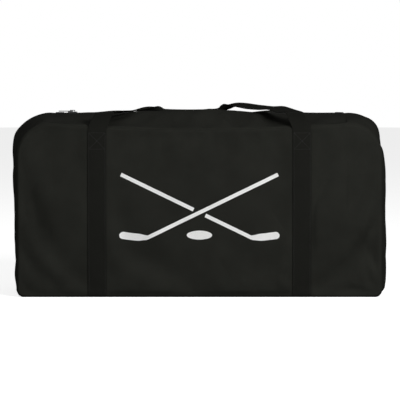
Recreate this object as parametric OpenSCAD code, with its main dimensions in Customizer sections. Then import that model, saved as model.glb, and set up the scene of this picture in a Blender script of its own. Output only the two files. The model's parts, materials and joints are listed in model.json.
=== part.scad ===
// Soft carry bag for hockey kit: a boxy fabric bag with rounded top corners,
// a full-length zipper along the top, two webbing loop handles and a base board.
// Millimetres. +Z is up, +X runs along the bag, -Y is the printed front.
// The origin is on the floor under the middle of the bag.

/* [Body] */
// Length of the bag between the seams of its two ends
body_l = 980; // [800:10:1180]
// Height of the front and back panels
body_h = 470; // [390:5:570]
// Depth of the bag between its front and back seams
body_d = 400; // [320:5:480]
// Radius of the two top corners of the front and back panels
top_r = 95; // [60:1:120]
// Radius of the two bottom corners
base_r = 18; // [12:1:30]
// How far each end bulges past its seams
end_crown = 18; // [5:1:30]
// How far the top rises from its seams to the zipper
top_rise = 18; // [8:1:30]
// How far the front and back panels bulge
face_crown = 16; // [4:1:24]
// Thickness of the coated fabric with its lining
fabric_t = 1.6; // [1:0.1:2.4]

/* [Base board and seam binding] */
// Thickness of the loose stiffening board
board_t = 3; // [2:0.5:6]
// Room between the board and the fabric round it
board_gap = 5; // [3:1:10]
// Width of the binding tape over the inner seam allowance
binding_w = 10; // [6:1:16]
// Thickness of the bound seam allowance
binding_t = 2; // [1:0.2:2.2]

/* [Webbing] */
// Width of the webbing
web_w = 50; // [38:1:60]
// Thickness of the webbing
web_t = 2.2; // [1.6:0.1:2.8]
// Distance of each strap's middle from the middle of the bag
strap_x = 275; // [200:5:330]
// Height at which each strap leaves its panel, above its stitched box
lift_z = 444; // [360:1:452]
// Side of the stitched box that anchors each strap
stitch_box = 44; // [30:1:50]
// Width of the folded grip in the middle of each handle
grip_w = 27; // [22:1:40]
// Thickness of the folded grip
grip_t = 5; // [4:0.5:7]
// How far each handle reaches from its hinge line to the middle of its grip
handle_reach = 300; // [240:1:340]
// How far the front handle's grip lies off the middle, to the left
grip_shift = 25; // [0:1:40]

/* [Zipper] */
// Flat length of the top left beyond each end of the opening
end_land = 75; // [70:1:90]
// Length of closed chain beyond each end of the opening
tail_l = 48; // [44:1:52]
// Visible width between the two fabric edges
zip_open = 16; // [15:0.5:22]
// Width of one half of the coil
coil_w = 4.5; // [3.5:0.1:5]
// Thickness of the coil
coil_t = 4.4; // [3.5:0.1:5]
// Space between the two halves of the coil, for the slider's post
coil_gap = 2; // [1.8:0.1:2.6]
// Width of the woven tape on each side
tape_w = 14.5; // [12:0.5:20]
// Thickness of the woven tape
tape_t = 0.8; // [0.6:0.1:1]
// Length of the slider's body
slider_l = 26; // [20:1:30]
// Length of the pull beyond its eye
pull_l = 38; // [28:1:46]

/* [Print] */
// Width of the printed mark on the front
print_w = 430; // [300:5:480]
// Height of the printed mark
print_h = 196; // [140:2:240]
// Height of the middle of the printed mark
print_z = 245; // [200:1:280]

/* [Hidden] */

black_cloth = [0.13, 0.13, 0.13];
black_web = [0.10, 0.10, 0.10];
black_tape = [0.11, 0.11, 0.12];
grey_metal = [0.35, 0.35, 0.37];

half_l = body_l / 2;
half_d = body_d / 2;
zip_z = body_h + top_rise;                       // fabric height at the zipper
zip_half = half_l - top_r - end_land;            // half the length that opens
tail_end = zip_half + tail_l;
join_gap = 0.4;                                  // clearance between a flap and what it leaves
flap_gap = 0.5;                                  // clearance between a flap and its panel
tape_top = zip_z - fabric_t - 0.4;
chain_z = tape_top - tape_t / 2;                 // middle plane of the zipper chain
coil_in = coil_gap / 2;
coil_out = coil_in + coil_w;
stop_l = 3;
slider_park = zip_half + 27;                     // middle of the slider when the zipper is shut
strap_top = zip_z + 6;                           // where a front strap ends and its handle begins
back_strap_top = lift_z + 8;                     // the same on the back, where the handle hangs
skin_gap = 0.1;                                  // clearance between a panel and what is sewn on it
rest_gap = 1.6;                                  // clearance under the front grip, which lies on the top
slider_gap = 0.2;                                // least clearance beside the slider
lip_gap = 0.35;                                  // clearance between the slider's lips and the coil
lip_w = 1.45;
slider_w = 2 * (coil_out + lip_gap + lip_w);
zip_edge = max(zip_open / 2, slider_w / 2 + slider_gap);    // from the middle to a fabric edge

// One side of the panel's outline from the floor to the top seam:
// [x, z, outward normal x, outward normal z].
side_rows = concat(
    [for (a = [-90:22.5:0])
        [half_l - base_r + base_r * cos(a), base_r + base_r * sin(a), cos(a), sin(a)]],
    [for (i = [1:7])
        [half_l, base_r + (body_h - top_r - base_r) * i / 8, 1, 0]],
    [for (a = [0:11.25:90])
        [half_l - top_r + top_r * cos(a), body_h - top_r + top_r * sin(a), cos(a), sin(a)]]
);
last_row = len(side_rows) - 1;

// Half the panel's width at height z.
function half_w(z) =
    z < base_r ? half_l - base_r + sqrt(max(0, pow(base_r, 2) - pow(base_r - z, 2))) :
    z > body_h - top_r ?
        half_l - top_r + sqrt(max(0, pow(top_r, 2) - pow(z - body_h + top_r, 2))) :
    half_l;

// How far the front or back panel stands out from its seam plane at (x, z).
function bulge(x, z) =
    z <= 0 || z >= body_h ? 0 :
    face_crown * max(0, 1 - pow(x / half_w(z), 2)) * (1 - pow(2 * z / body_h - 1, 2));

// How far the gusset bulges at its middle where its normal's z part is nz.
function gusset_crown(nz) =
    nz < 0 ? end_crown * pow(1 + nz, 2) : end_crown * (1 - nz) + top_rise * nz;

// A point of the gusset: row is [x, z, nx, nz], t runs from -1 at the front to 1 at the back.
function gusset_point(row, t, out) =
    let (k = gusset_crown(row[3]) * (1 - t * t) + out)
    [row[0] + row[2] * k, t * half_d, row[1] + row[3] * k];

// Height of the top surface at depth y.
function top_z(y) = body_h + top_rise * (1 - pow(y / half_d, 2));

// A closed sheet between two grids of points, each a list of rows. The first is the outer side.
module sheet_between(outer, inner) {
    rows = len(outer);
    cols = len(outer[0]);
    n = rows * cols;
    points = concat([for (r = outer) each r], [for (r = inner) each r]);
    quads = concat(
        [for (i = [0:rows - 2], j = [0:cols - 2])
            [i * cols + j, (i + 1) * cols + j, (i + 1) * cols + j + 1, i * cols + j + 1]],
        [for (i = [0:rows - 2], j = [0:cols - 2])
            [n + i * cols + j, n + i * cols + j + 1, n + (i + 1) * cols + j + 1, n + (i + 1) * cols + j]],
        [for (j = [0:cols - 2]) [j, j + 1, n + j + 1, n + j]],
        [for (j = [0:cols - 2]) let (b = (rows - 1) * cols + j) [b + 1, b, n + b, n + b + 1]],
        [for (i = [0:rows - 2]) let (a = i * cols) [a + cols, a, n + a, n + a + cols]],
        [for (i = [0:rows - 2]) let (a = i * cols + cols - 1) [a, a + cols, n + a + cols, n + a]]
    );
    polyhedron(points, [for (q = quads) each [[q[0], q[1], q[2]], [q[0], q[2], q[3]]]]);
}

// A strip of the front face: across and up are lists of x and z, out0 to out1 its two offsets.
module face_sheet(xs, zs, out0, out1) {
    sheet_between(
        [for (z = zs) [for (x = xs) [x, -half_d - bulge(x, z) - out1, z]]],
        [for (z = zs) [for (x = xs) [x, -half_d - bulge(x, z) - out0, z]]]
    );
}

module panel() {
    cells = 24;
    face = function (out)
        [for (r = side_rows) [for (j = [0:cells])
            let (x = r[0] * (1 - 2 * j / cells)) [x, -half_d - bulge(x, r[1]) - out, r[1]]]];
    color(black_cloth) sheet_between(face(fabric_t), face(0));
}

module bottom_panel() {
    color(black_cloth)
        translate([-half_l + base_r, -half_d, 0]) cube([body_l - 2 * base_r, body_d, fabric_t]);
}

// Right-hand end: from the bottom seam, round both corners, to the end of the opening.
module end_gusset() {
    across = 10;
    rows = concat(side_rows, [for (i = [1:4])
        [half_l - top_r - (end_land - join_gap) * i / 4, body_h, 0, 1]]);
    skin = function (out)
        [for (r = rows) [for (j = [0:across]) gusset_point(r, 1 - 2 * j / across, out)]];
    color(black_cloth) difference() {
        sheet_between(skin(0), skin(-fabric_t));
        translate([zip_half - 1, -zip_edge, zip_z - 10])
            cube([tail_l + 1.5, 2 * zip_edge, 20]);
    }
}

module base_board() {
    edge = 12;
    l = body_l - 2 * (base_r + board_gap);
    d = body_d - 2 * board_gap;
    color([0.2, 0.2, 0.21]) translate([0, 0, fabric_t + 0.2]) linear_extrude(board_t) {
        square([l - 2 * edge, d], center = true);
        square([l, d - 2 * edge], center = true);
        for (sx = [-1, 1], sy = [-1, 1])
            translate([sx * (l / 2 - edge), sy * (d / 2 - edge)]) circle(edge, $fn = 48);
    }
}

// The panel's outline moved inwards, in the plane of the front, as a 2D shape.
module outline(inset) {
    top = top_r - inset;
    low = base_r - inset;
    for (s = [-1, 1]) {
        translate([s * (half_l - top_r), body_h - top_r]) circle(top, $fn = 96);
        translate([s * (half_l - base_r), base_r]) circle(max(low, 0.5), $fn = 48);
    }
    translate([-half_l + top_r, inset]) square([body_l - 2 * top_r, body_h - 2 * inset]);
    translate([-half_l + inset, base_r]) square([body_l - 2 * inset, body_h - top_r - base_r]);
    translate([-half_l + base_r, inset]) square([body_l - 2 * base_r, base_r]);
}

module seam_binding() {
    inset = board_t + fabric_t + 3.4;
    color(black_tape) translate([0, -half_d + binding_t, 0]) rotate([90, 0, 0])
        linear_extrude(binding_t) difference() {
            outline(inset);
            outline(inset + binding_w);
        }
}

// Where a front strap's inner side lies at (x, z): on the panel, then free above lift_z.
function strap_y(x, z) =
    let (zs = min(z, lift_z))
    -half_d - fabric_t - skin_gap - bulge(x, zs) - max(0, z - lift_z) * 0.02;

module strap(x0, top) {
    xs = [for (i = [4:-1:0]) x0 + (i / 4 - 0.5) * web_w];
    steps = 20;
    foot = 2;
    zs = concat([for (i = [0:steps]) foot + (lift_z - foot) * i / steps],
                [for (i = [1:3]) lift_z + (top - lift_z) * i / 3]);
    color(black_web) sheet_between(
        [for (z = zs) [for (x = xs) [x, strap_y(x, z) - web_t, z]]],
        [for (z = zs) [for (x = xs) [x, strap_y(x, z), z]]]
    );
}

// One line of thread on the strap, from (x, z) a to (x, z) b, as a raised cord.
module thread_line(a, b) {
    thick = 0.5;
    wide = 0.9;
    n = 8;
    d = (b - a) / norm(b - a) * wide / 2;
    side = [d[1], -d[0]];
    rise = skin_gap / 2;
    lane = function (out)
        [for (i = [0:n]) let (c = a + (b - a) * i / n) [for (s = [1, -1])
            let (p = c + side * s) [p[0], strap_y(p[0], p[1]) - web_t - rise - out, p[1]]]];
    sheet_between(lane(thick), lane(0));
}

module box_stitch(x0) {
    r = stitch_box / 2;
    c = [x0, lift_z - r - 1];
    inner = r - 1.5;
    for (q = [[-1, 1], [1, 1], [1, -1], [-1, -1]]) {
        next = [q[1], -q[0]];
        turn = [for (k = [0, 1]) (next - q)[k]];
        thread_line(c + q * r + turn * 0.02 * r, c + next * r - turn * 0.02 * r);
        thread_line(c + q * inner, c + q * 1.2);
    }
}

module box_stitching() {
    color(black_tape) for (s = [-1, 1]) box_stitch(s * strap_x);
}

// Front half of the top between the end gussets, hinged at the front seam.
module flap() {
    across = 16;
    deep = 8;
    y0 = -half_d + flap_gap;
    y1 = -zip_edge;
    skin = function (out)
        [for (i = [0:deep]) let (y = y0 + (y1 - y0) * i / deep)
            [for (j = [0:across]) [zip_half * (1 - 2 * j / across), y, top_z(y) + out]]];
    color(black_cloth) sheet_between(skin(0), skin(-fabric_t));
}

module tape(x0, x1) {
    color(black_tape) translate([x0, -coil_out - tape_w, tape_top - tape_t])
        cube([x1 - x0, tape_w, tape_t]);
}

module coil(x0, x1) {
    r = 1.2;
    color(black_web) translate([x0, 0, chain_z]) rotate([90, 0, 90]) linear_extrude(x1 - x0)
        translate([-coil_out + coil_w / 2, 0]) {
            square([coil_w - 2 * r, coil_t], center = true);
            square([coil_w, coil_t - 2 * r], center = true);
            for (sx = [-1, 1], sz = [-1, 1])
                translate([sx * (coil_w / 2 - r), sz * (coil_t / 2 - r)]) circle(r, $fn = 24);
        }
}

// Right-hand stretch of closed chain, where the slider stands when it has run its course.
module zipper_end() {
    x0 = zip_half + join_gap;
    for (m = [0, 1]) mirror([0, m, 0]) {
        tape(x0, tail_end);
        coil(x0, tail_end - stop_l - 2);
    }
}

module zipper_stop() {
    color(grey_metal) translate([tail_end - stop_l - 1.8, 0, chain_z])
        rotate([0, 90, 0]) linear_extrude(stop_l) {
            square([coil_t - 2, 2 * coil_out - 0.6], center = true);
            for (s = [-1, 1]) translate([0, s * (coil_out - coil_t / 2)]) circle(coil_t / 2 - 0.2, $fn = 32);
        }
}

module zipper_tab() {
    x0 = tail_end + 2;
    x1 = half_l - top_r - 1;
    half = 22;
    skin = function (out)
        [for (i = [0:8]) let (y = -half + 2 * half * i / 8)
            [for (x = [x1, x0]) [x, y, top_z(y) + out]]];
    color(black_tape) sheet_between(skin(skin_gap + 1.3), skin(skin_gap));
}

// Slider sizes about the middle of the chain.
wing_t = 1.8;
wing_z = coil_t / 2 + lip_gap;                  // inner side of both wings
post_w = coil_gap - 0.6;
pull_bar_r = 1.1;
pull_bar_z = wing_z + wing_t + 0.5 + pull_bar_r;
bridge_w = 4;
bridge_r = 7;

module slider_plate(w, l) {
    r = 3;
    square([l - 2 * r, w], center = true);
    square([l, w - 2 * r], center = true);
    for (sx = [-1, 1], sy = [-1, 1])
        translate([sx * (l / 2 - r), sy * (w / 2 - r)]) circle(r, $fn = 32);
}

module slider_wing() {
    translate([0, 0, wing_z]) linear_extrude(wing_t) slider_plate(slider_w, slider_l);
    lip_h = wing_z - tape_t / 2 - 0.3;
    for (s = [-1, 1])
        translate([-slider_l / 2 + 3, s * (slider_w / 2 - lip_w / 2) - lip_w / 2, wing_z - lip_h])
            cube([slider_l - 6, lip_w, lip_h + 0.1]);
}

module zipper_slider() {
    color(grey_metal) translate([-slider_park, 0, chain_z]) {
        slider_wing();
        mirror([0, 0, 1]) slider_wing();
        translate([-slider_l / 2 + 4, -post_w / 2, -wing_z]) cube([5, post_w, 2 * wing_z]);
        bridge_z = wing_z + wing_t;
        inner = pull_bar_z + pull_bar_r + 0.4 - bridge_z;
        translate([0, bridge_w / 2, bridge_z]) rotate([90, 0, 0]) linear_extrude(bridge_w)
            difference() {
                translate([-bridge_r, -0.1]) square([2 * bridge_r, inner + 1.7]);
                translate([-bridge_r + 1.8, -1]) square([2 * bridge_r - 3.6, inner + 1]);
            }
    }
}

module slider_pull() {
    arm = 9.5;
    half = bridge_w / 2 + 0.7;
    arm_w = 1.6;
    plate_t = 1.8;
    tip_r = half + arm_w;
    color(grey_metal) translate([-slider_park, 0, chain_z + pull_bar_z]) {
        rotate([90, 0, 0]) cylinder(h = 2 * tip_r, r = pull_bar_r, center = true, $fn = 32);
        for (s = [-1, 1])
            translate([-arm - 0.5, s * (half + arm_w / 2) - arm_w / 2, -plate_t / 2])
                cube([arm + 0.5, arm_w, plate_t]);
        translate([0, 0, -plate_t / 2]) linear_extrude(plate_t) difference() {
            union() {
                translate([-pull_l + tip_r, -tip_r]) square([pull_l - tip_r - arm, 2 * tip_r]);
                translate([-pull_l + tip_r, 0]) circle(tip_r, $fn = 48);
            }
            translate([-pull_l + tip_r, 0]) circle(tip_r - 2, $fn = 48);
            translate([-pull_l + tip_r, -1.2]) square([10, 2.4]);
        }
    }
}

// Catmull-Rom curve through a list of stations of any width.
function curve_at(p, i, f) =
    let (n = len(p) - 1, a = p[max(i - 1, 0)], b = p[i], c = p[min(i + 1, n)], d = p[min(i + 2, n)])
    0.5 * (2 * b + (c - a) * f + (2 * a - 5 * b + 4 * c - d) * f * f + (3 * b - a - 3 * c + d) * f * f * f);
function curve(p, steps) =
    concat([for (i = [0:len(p) - 2], k = [0:steps - 1]) curve_at(p, i, k / steps)], [p[len(p) - 1]]);
function unit(v) = v / norm(v);

// A flat strip along stations [x, y, z, lean, width, thickness]. lean turns its face from
// facing away from the bag, 0, to facing up, 1; away is that first direction.
module strip(stations, away) {
    s = curve(stations, 3);
    n = len(s) - 1;
    place = [for (k = s) [k[0], k[1], k[2]]];
    ring = [for (i = [0:n])
        let (
            along = unit(place[min(i + 1, n)] - place[max(i - 1, 0)]),
            hint = unit(away * (1 - s[i][3]) + [0, 0, 1] * s[i][3]),
            face = unit(hint - (hint * along) * along) * s[i][5] / 2,
            wide = unit(cross(along, face)) * s[i][4] / 2
        )
        [place[i] - wide - face, place[i] + wide - face, place[i] + wide + face, place[i] - wide + face]];
    faces = concat(
        [for (i = [0:n - 1], j = [0:3]) let (a = 4 * i + j, b = 4 * i + (j + 1) % 4)
            each [[a, a + 4, b + 4], [a, b + 4, b]]],
        [[0, 1, 2], [0, 2, 3], [4 * n + 2, 4 * n + 1, 4 * n], [4 * n + 3, 4 * n + 2, 4 * n]]
    );
    color(black_web) polyhedron([for (r = ring) each r], faces);
}

// The hinge line of each handle, above and outside its straps' ends.
hinge_out = web_t + 3.7;                         // from a strap's inner side to its hinge line
hinge_y = -strap_y(strap_x, strap_top) + hinge_out;
hinge_z = strap_top + 2;
back_hinge_y = -strap_y(strap_x, back_strap_top) + hinge_out;
back_hinge_z = back_strap_top + 2;

// The middle of the front grip, lying on the top, and its height over the hinge line.
grip_y = -hinge_y + handle_reach;
grip_z = top_z(max(0, abs(grip_y) - grip_w / 2)) + grip_t / 2 + rest_gap;
grip_rise = grip_z - hinge_z;

// The two halves of the front handle, from its hinge to its grip:
// [share of strap_x, share of handle_reach, height over the hinge, lean, width, thickness].
fold_w = (web_w + grip_w) / 2;
fold_t = (web_t + grip_t) / 2;
right_leg = [
    [1.000, 0.004, 1.5, 0.35, web_w, web_t],
    [0.995, 0.028, 4.5, 0.60, web_w, web_t],
    [0.975, 0.068, 9.5, 0.85, web_w, web_t],
    [0.915, 0.140, 16.0, 1, web_w, web_t],
    [0.806, 0.288, 18.0, 1, web_w, web_t],
    [0.700, 0.435, 14.0, 1, web_w, web_t],
    [0.580, 0.600, 13.0, 1, web_w, web_t],
    [0.470, 0.745, 13.0, 1, web_w, web_t],
    [0.385, 0.855, 7.0, 1, web_w * 0.9, web_t * 1.2],
    [0.310, 0.960, grip_rise + 2, 1, fold_w, fold_t],
    [0.240, 0.996, grip_rise, 1, grip_w, grip_t]
];
left_leg = [
    [1.000, 0.004, 1.5, 0.35, web_w, web_t],
    [0.995, 0.028, 4.0, 0.60, web_w, web_t],
    [0.975, 0.068, 6.0, 0.85, web_w, web_t],
    [0.915, 0.150, 5.0, 1, web_w, web_t],
    [0.818, 0.282, 4.0, 1, web_w, web_t],
    [0.715, 0.420, 3.0, 1, web_w, web_t],
    [0.600, 0.570, 2.8, 1, web_w, web_t],
    [0.490, 0.700, 3.4, 1, web_w, web_t],
    [0.400, 0.820, 3.4, 1, web_w * 0.9, web_t * 1.2],
    [0.330, 0.945, grip_rise + 3, 1, fold_w, fold_t],
    [0.260, 0.996, grip_rise, 1, grip_w, grip_t]
];
grip_middle = [-grip_shift, grip_y, grip_z, 1, grip_w, grip_t];

function front_station(s, side) = [
    side * strap_x * s[0] - grip_shift * (1 - s[0]),
    -hinge_y + handle_reach * s[1], hinge_z + s[2], s[3], s[4], s[5]
];

module front_handle() {
    strip(concat(
        [for (s = right_leg) front_station(s, 1)],
        [grip_middle],
        [for (i = [len(left_leg) - 1:-1:0]) front_station(left_leg[i], -1)]
    ), [0, -1, 0]);
}

// One half of the back handle, hanging: [share of strap_x, share of its drop, distance out, width, thickness].
hanging_leg = [
    [1.000, 0.004, 1.0, web_w, web_t],
    [1.000, 0.045, 4.5, web_w, web_t],
    [0.985, 0.110, 8.0, web_w, web_t],
    [0.930, 0.210, 11.0, web_w, web_t],
    [0.820, 0.360, 13.0, web_w, web_t],
    [0.690, 0.520, 14.0, web_w, web_t],
    [0.560, 0.675, 15.0, web_w, web_t],
    [0.450, 0.830, 16.0, web_w, web_t],
    [0.365, 0.930, 17.0, web_w * 0.9, web_t * 1.2],
    [0.300, 0.985, 17.5, fold_w, fold_t],
    [0.230, 1.000, 17.5, grip_w, grip_t]
];

module back_handle() {
    half = function (side) [for (s = hanging_leg)
        [side * strap_x * s[0], back_hinge_y + s[2], back_hinge_z - handle_reach * s[1], 0, s[3], s[4]]];
    right = half(1);
    left = half(-1);
    strip(concat(
        right,
        [[0, back_hinge_y + 17.5, back_hinge_z - handle_reach, 0, grip_w, grip_t]],
        [for (i = [len(left) - 1:-1:0]) left[i]]
    ), [0, 1, 0]);
}

// Printed mark: two crossed sticks over a puck, as thin ink on the front panel.
ink_t = 0.3;

// A four-cornered patch of ink; corners run anticlockwise as (x, z) about the mark's middle.
module ink_quad(c, n) {
    at = function (u, v)
        (c[0] * (1 - u) + c[1] * u) * (1 - v) + (c[3] * (1 - u) + c[2] * u) * v;
    lane = function (out)
        [for (j = [0:2]) [for (i = [n:-1:0]) let (p = at(i / n, j / 2))
            [p[0], -half_d - bulge(p[0], p[1] + print_z) - fabric_t - skin_gap / 2 - out, p[1] + print_z]]];
    sheet_between(lane(ink_t), lane(0));
}

stick_foot = [-print_w * 0.33, -print_h * 0.40];
stick_tip = [print_w * 0.49, print_h * 0.47];
stick_cross = 0.33 / (0.33 + 0.49);              // share of the shaft at which the two cross

// A stretch of shaft between two shares of its length.
module ink_shaft(from, to) {
    run = stick_tip - stick_foot;
    along = run / norm(run);
    side = [-along[1], along[0]] * 5;
    a = stick_foot + run * from;
    b = stick_foot + run * to;
    ink_quad([a - side, b - side, b + side, a + side], ceil(16 * (to - from)));
}

module ink_blade() {
    toe = [-print_w * 0.5, -print_h * 0.37];
    heel = stick_foot + [-7, -3.5];
    ink_quad([toe - [0, 9], heel - [0, 7], heel + [0, 9], toe + [3, 9]], 5);
}

module front_print() {
    puck_z = -print_h * 0.36;
    puck_rx = 34;
    puck_rz = 12;
    color("white") {
        ink_shaft(0, 1);
        ink_blade();
        mirror([1, 0, 0]) {
            ink_shaft(0, stick_cross - 0.045);
            ink_shaft(stick_cross + 0.045, 1);
            ink_blade();
        }
        lane = function (out)
            [for (a = [-80:16:80]) [for (s = [1, 0, -1])
                let (x = puck_rx * cos(a) * s, z = puck_z + puck_rz * sin(a) + print_z)
                [x, -half_d - bulge(x, z) - fabric_t - skin_gap / 2 - out, z]]];
        sheet_between(lane(ink_t), lane(0));
    }
}

panel();  // front_panel
mirror([0, 1, 0]) panel();  // back_panel
bottom_panel();
end_gusset();  // right_end_gusset
mirror([1, 0, 0]) end_gusset();  // left_end_gusset
base_board();
seam_binding();  // front_seam_binding
mirror([0, 1, 0]) seam_binding();  // back_seam_binding
strap(-strap_x, strap_top);  // front_left_strap
strap(strap_x, strap_top);  // front_right_strap
mirror([0, 1, 0]) strap(-strap_x, back_strap_top);  // back_left_strap
mirror([0, 1, 0]) strap(strap_x, back_strap_top);  // back_right_strap
box_stitching();  // front_box_stitching
mirror([0, 1, 0]) box_stitching();  // back_box_stitching
flap();  // front_flap
mirror([0, 1, 0]) flap();  // back_flap
tape(-zip_half, zip_half);  // front_zipper_tape
mirror([0, 1, 0]) tape(-zip_half, zip_half);  // back_zipper_tape
coil(-zip_half, zip_half);  // front_zipper_coil
mirror([0, 1, 0]) coil(-zip_half, zip_half);  // back_zipper_coil
zipper_end();  // right_zipper_end
mirror([1, 0, 0]) zipper_end();  // left_zipper_end
zipper_stop();  // right_zipper_stop
mirror([1, 0, 0]) zipper_stop();  // left_zipper_stop
zipper_tab();  // right_zipper_tab
mirror([1, 0, 0]) zipper_tab();  // left_zipper_tab
zipper_slider();
slider_pull();
front_handle();
back_handle();
front_print();
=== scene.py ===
"""A soft carry bag for hockey kit: sewn shell, webbing loops, coil zipper and printed mark.

Lengths are metres in the frame's own axes: +Z up, +X along the bag, -Y the printed front.
"""

import functools
import json
import math

import bpy
import numpy as np
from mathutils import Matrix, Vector


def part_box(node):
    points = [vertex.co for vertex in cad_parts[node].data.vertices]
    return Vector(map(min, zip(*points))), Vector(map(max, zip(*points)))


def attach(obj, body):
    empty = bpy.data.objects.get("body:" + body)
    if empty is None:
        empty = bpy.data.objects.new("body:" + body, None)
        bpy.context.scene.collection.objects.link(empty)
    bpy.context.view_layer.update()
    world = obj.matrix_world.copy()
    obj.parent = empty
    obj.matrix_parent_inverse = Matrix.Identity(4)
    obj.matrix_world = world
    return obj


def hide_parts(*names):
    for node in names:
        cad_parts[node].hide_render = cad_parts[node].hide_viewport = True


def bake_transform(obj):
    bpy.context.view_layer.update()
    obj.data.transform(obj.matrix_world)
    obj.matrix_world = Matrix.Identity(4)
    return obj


bl_info = {
    "name": "Kit Bag",
    "version": (1, 0, 0),
    "blender": (4, 5, 0),
    "location": "View3D > Sidebar > Kit Bag",
    "description": "Sews a soft carry bag round its frame: shell, webbing, zipper and print",
    "category": "Object",
}

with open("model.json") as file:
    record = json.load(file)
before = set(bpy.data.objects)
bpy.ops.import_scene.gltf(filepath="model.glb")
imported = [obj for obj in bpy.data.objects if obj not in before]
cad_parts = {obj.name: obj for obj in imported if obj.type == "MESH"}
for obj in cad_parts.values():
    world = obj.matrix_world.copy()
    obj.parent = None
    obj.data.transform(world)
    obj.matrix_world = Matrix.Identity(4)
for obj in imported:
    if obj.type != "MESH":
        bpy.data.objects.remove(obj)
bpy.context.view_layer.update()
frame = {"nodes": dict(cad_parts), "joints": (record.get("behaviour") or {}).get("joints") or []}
JOINTS = {joint["name"]: joint for joint in frame["joints"]}

MM = 0.001
HALF_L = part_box("front_panel")[1].x
BODY_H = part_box("front_panel")[1].z
HALF_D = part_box("right_end_gusset")[1].y
BASE_R = HALF_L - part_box("bottom_panel")[1].x
ZIP_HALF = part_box("front_flap")[1].x
ZIP_EDGE = -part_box("front_flap")[1].y
TAIL_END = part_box("right_zipper_end")[1].x
TAB_LOW, TAB_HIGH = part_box("right_zipper_tab")
TOP_R = HALF_L - MM - TAB_HIGH.x
TAPE_LOW, TAPE_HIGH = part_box("front_zipper_tape")
COIL_LOW, COIL_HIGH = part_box("front_zipper_coil")
STRAP_LOW, STRAP_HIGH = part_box("front_right_strap")
STRAP_X = (STRAP_LOW.x + STRAP_HIGH.x) / 2
WEB_W = STRAP_HIGH.x - STRAP_LOW.x
LIFT_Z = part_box("front_box_stitching")[1].z + MM
HINGES = {
    -1: JOINTS["front_handle_swing"]["pos_m"][1:], 1: JOINTS["back_handle_swing"]["pos_m"][1:],
}
GRIP_W = 27 * MM
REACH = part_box("front_handle")[1].y - GRIP_W / 2 - HINGES[-1][0]
GRIP_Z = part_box("front_handle")[0].z + 2.5 * MM
PRINT_LOW, PRINT_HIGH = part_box("front_print")

SEAM_Y = HALF_D + 0.8 * MM        # where the panels and the gusset are sewn together
SLOT_END = TAIL_END + 0.5 * MM    # far end of the slot that the closed zipper shows in
SEAM_LINES = np.array([0, 0.7, 1.5, 2.6, 4.2, 7]) * MM    # grid lines crowded beside a seam
HELD_RIM = 3 * MM                 # how wide a rim of each panel is held while it is draped


# ---------------------------------------------------------------- sizes and colours


def length(label, text, default, low=0.0, high=1.0):
    """A length property in metres."""
    return bpy.props.FloatProperty(
        name=label, description=text, default=default, min=low, max=high,
        subtype="DISTANCE", unit="LENGTH", precision=4,
    )


def colour(label, text, default):
    """A colour property, linear."""
    return bpy.props.FloatVectorProperty(
        name=label, description=text, default=default, min=0, max=1, size=3, subtype="COLOR",
    )


class KitBagSizes(bpy.types.PropertyGroup):
    """Sizes of the sewn shell and its trim that the frame doesn't settle."""

    fabric: length("Fabric", "Thickness of the lined fabric", 1.6 * MM)
    webbing: length("Webbing", "Thickness of the webbing", 2.2 * MM)
    seam_sag: length("Seam sag", "How far the top seams hang down in the middle", 18 * MM)
    seam_groove: length("Seam groove", "How deep a turned seam is drawn in", 1.5 * MM)
    face_crown: length("Face crown", "How far the front and back bulge", 16 * MM)
    puff: length("Top puff", "How far the slack top stands up beside the zipper", 12.5 * MM)
    slack: bpy.props.FloatProperty(
        name="Slack", description="Spare cloth in each panel when it is draped", default=0.012,
        min=0, max=0.05, subtype="FACTOR",
    )
    stitch: length("Stitch", "Distance from one stitch to the next", 3.4 * MM)
    coil_pitch: length("Coil pitch", "Distance from one turn of the coil to the next", 2.3 * MM)
    grip_bend: length("Grip bend", "Radius of the fold along the grip", 1.4 * MM)


class KitBagColours(bpy.types.PropertyGroup):
    """Colours of the cloth, trim, metal and ink."""

    cloth: colour("Cloth", "Coated cloth of the shell", (0.0162, 0.0166, 0.0141))
    base_cloth: colour("Base cloth", "Heavier cloth of the bottom", (0.013, 0.013, 0.013))
    webbing: colour("Webbing", "Webbing of the straps and handles", (0.0104, 0.0106, 0.0091))
    thread: colour("Thread", "Sewing thread", (0.02, 0.02, 0.02))
    binding: colour("Binding", "Tape over the inner seams", (0.012, 0.012, 0.013))
    tape: colour("Zipper tape", "Woven zipper tape", (0.011, 0.011, 0.012))
    coil: colour("Zipper coil", "Plastic coil", (0.012, 0.012, 0.013))
    enamel: colour("Enamel", "Enamelled zipper metal", (0.022, 0.022, 0.023))
    ink: colour("Ink", "Screen-printed ink", (0.86, 0.86, 0.85))
    board: colour("Board", "Plastic stiffening board", (0.03, 0.03, 0.032))


# ---------------------------------------------------------------- materials


class Value:
    """A shader socket that takes part in arithmetic; each operator adds a Math node."""

    def __init__(self, finish, socket):
        self.finish = finish
        self.socket = socket

    def _math(self, operation, first, second):
        return self.finish.node("ShaderNodeMath", {"operation": operation}, {0: first, 1: second})

    def __add__(self, other):
        return self._math("ADD", self, other)

    def __sub__(self, other):
        return self._math("SUBTRACT", self, other)

    def __rsub__(self, other):
        return self._math("SUBTRACT", other, self)

    def __mul__(self, other):
        return self._math("MULTIPLY", self, other)

    __radd__ = __add__
    __rmul__ = __mul__

    def wave(self):
        """Sine of the value, in radians."""
        return self.finish.node("ShaderNodeMath", {"operation": "SINE"}, {0: self})

    def size(self):
        """The value without its sign."""
        return self.finish.node("ShaderNodeMath", {"operation": "ABSOLUTE"}, {0: self})


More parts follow.
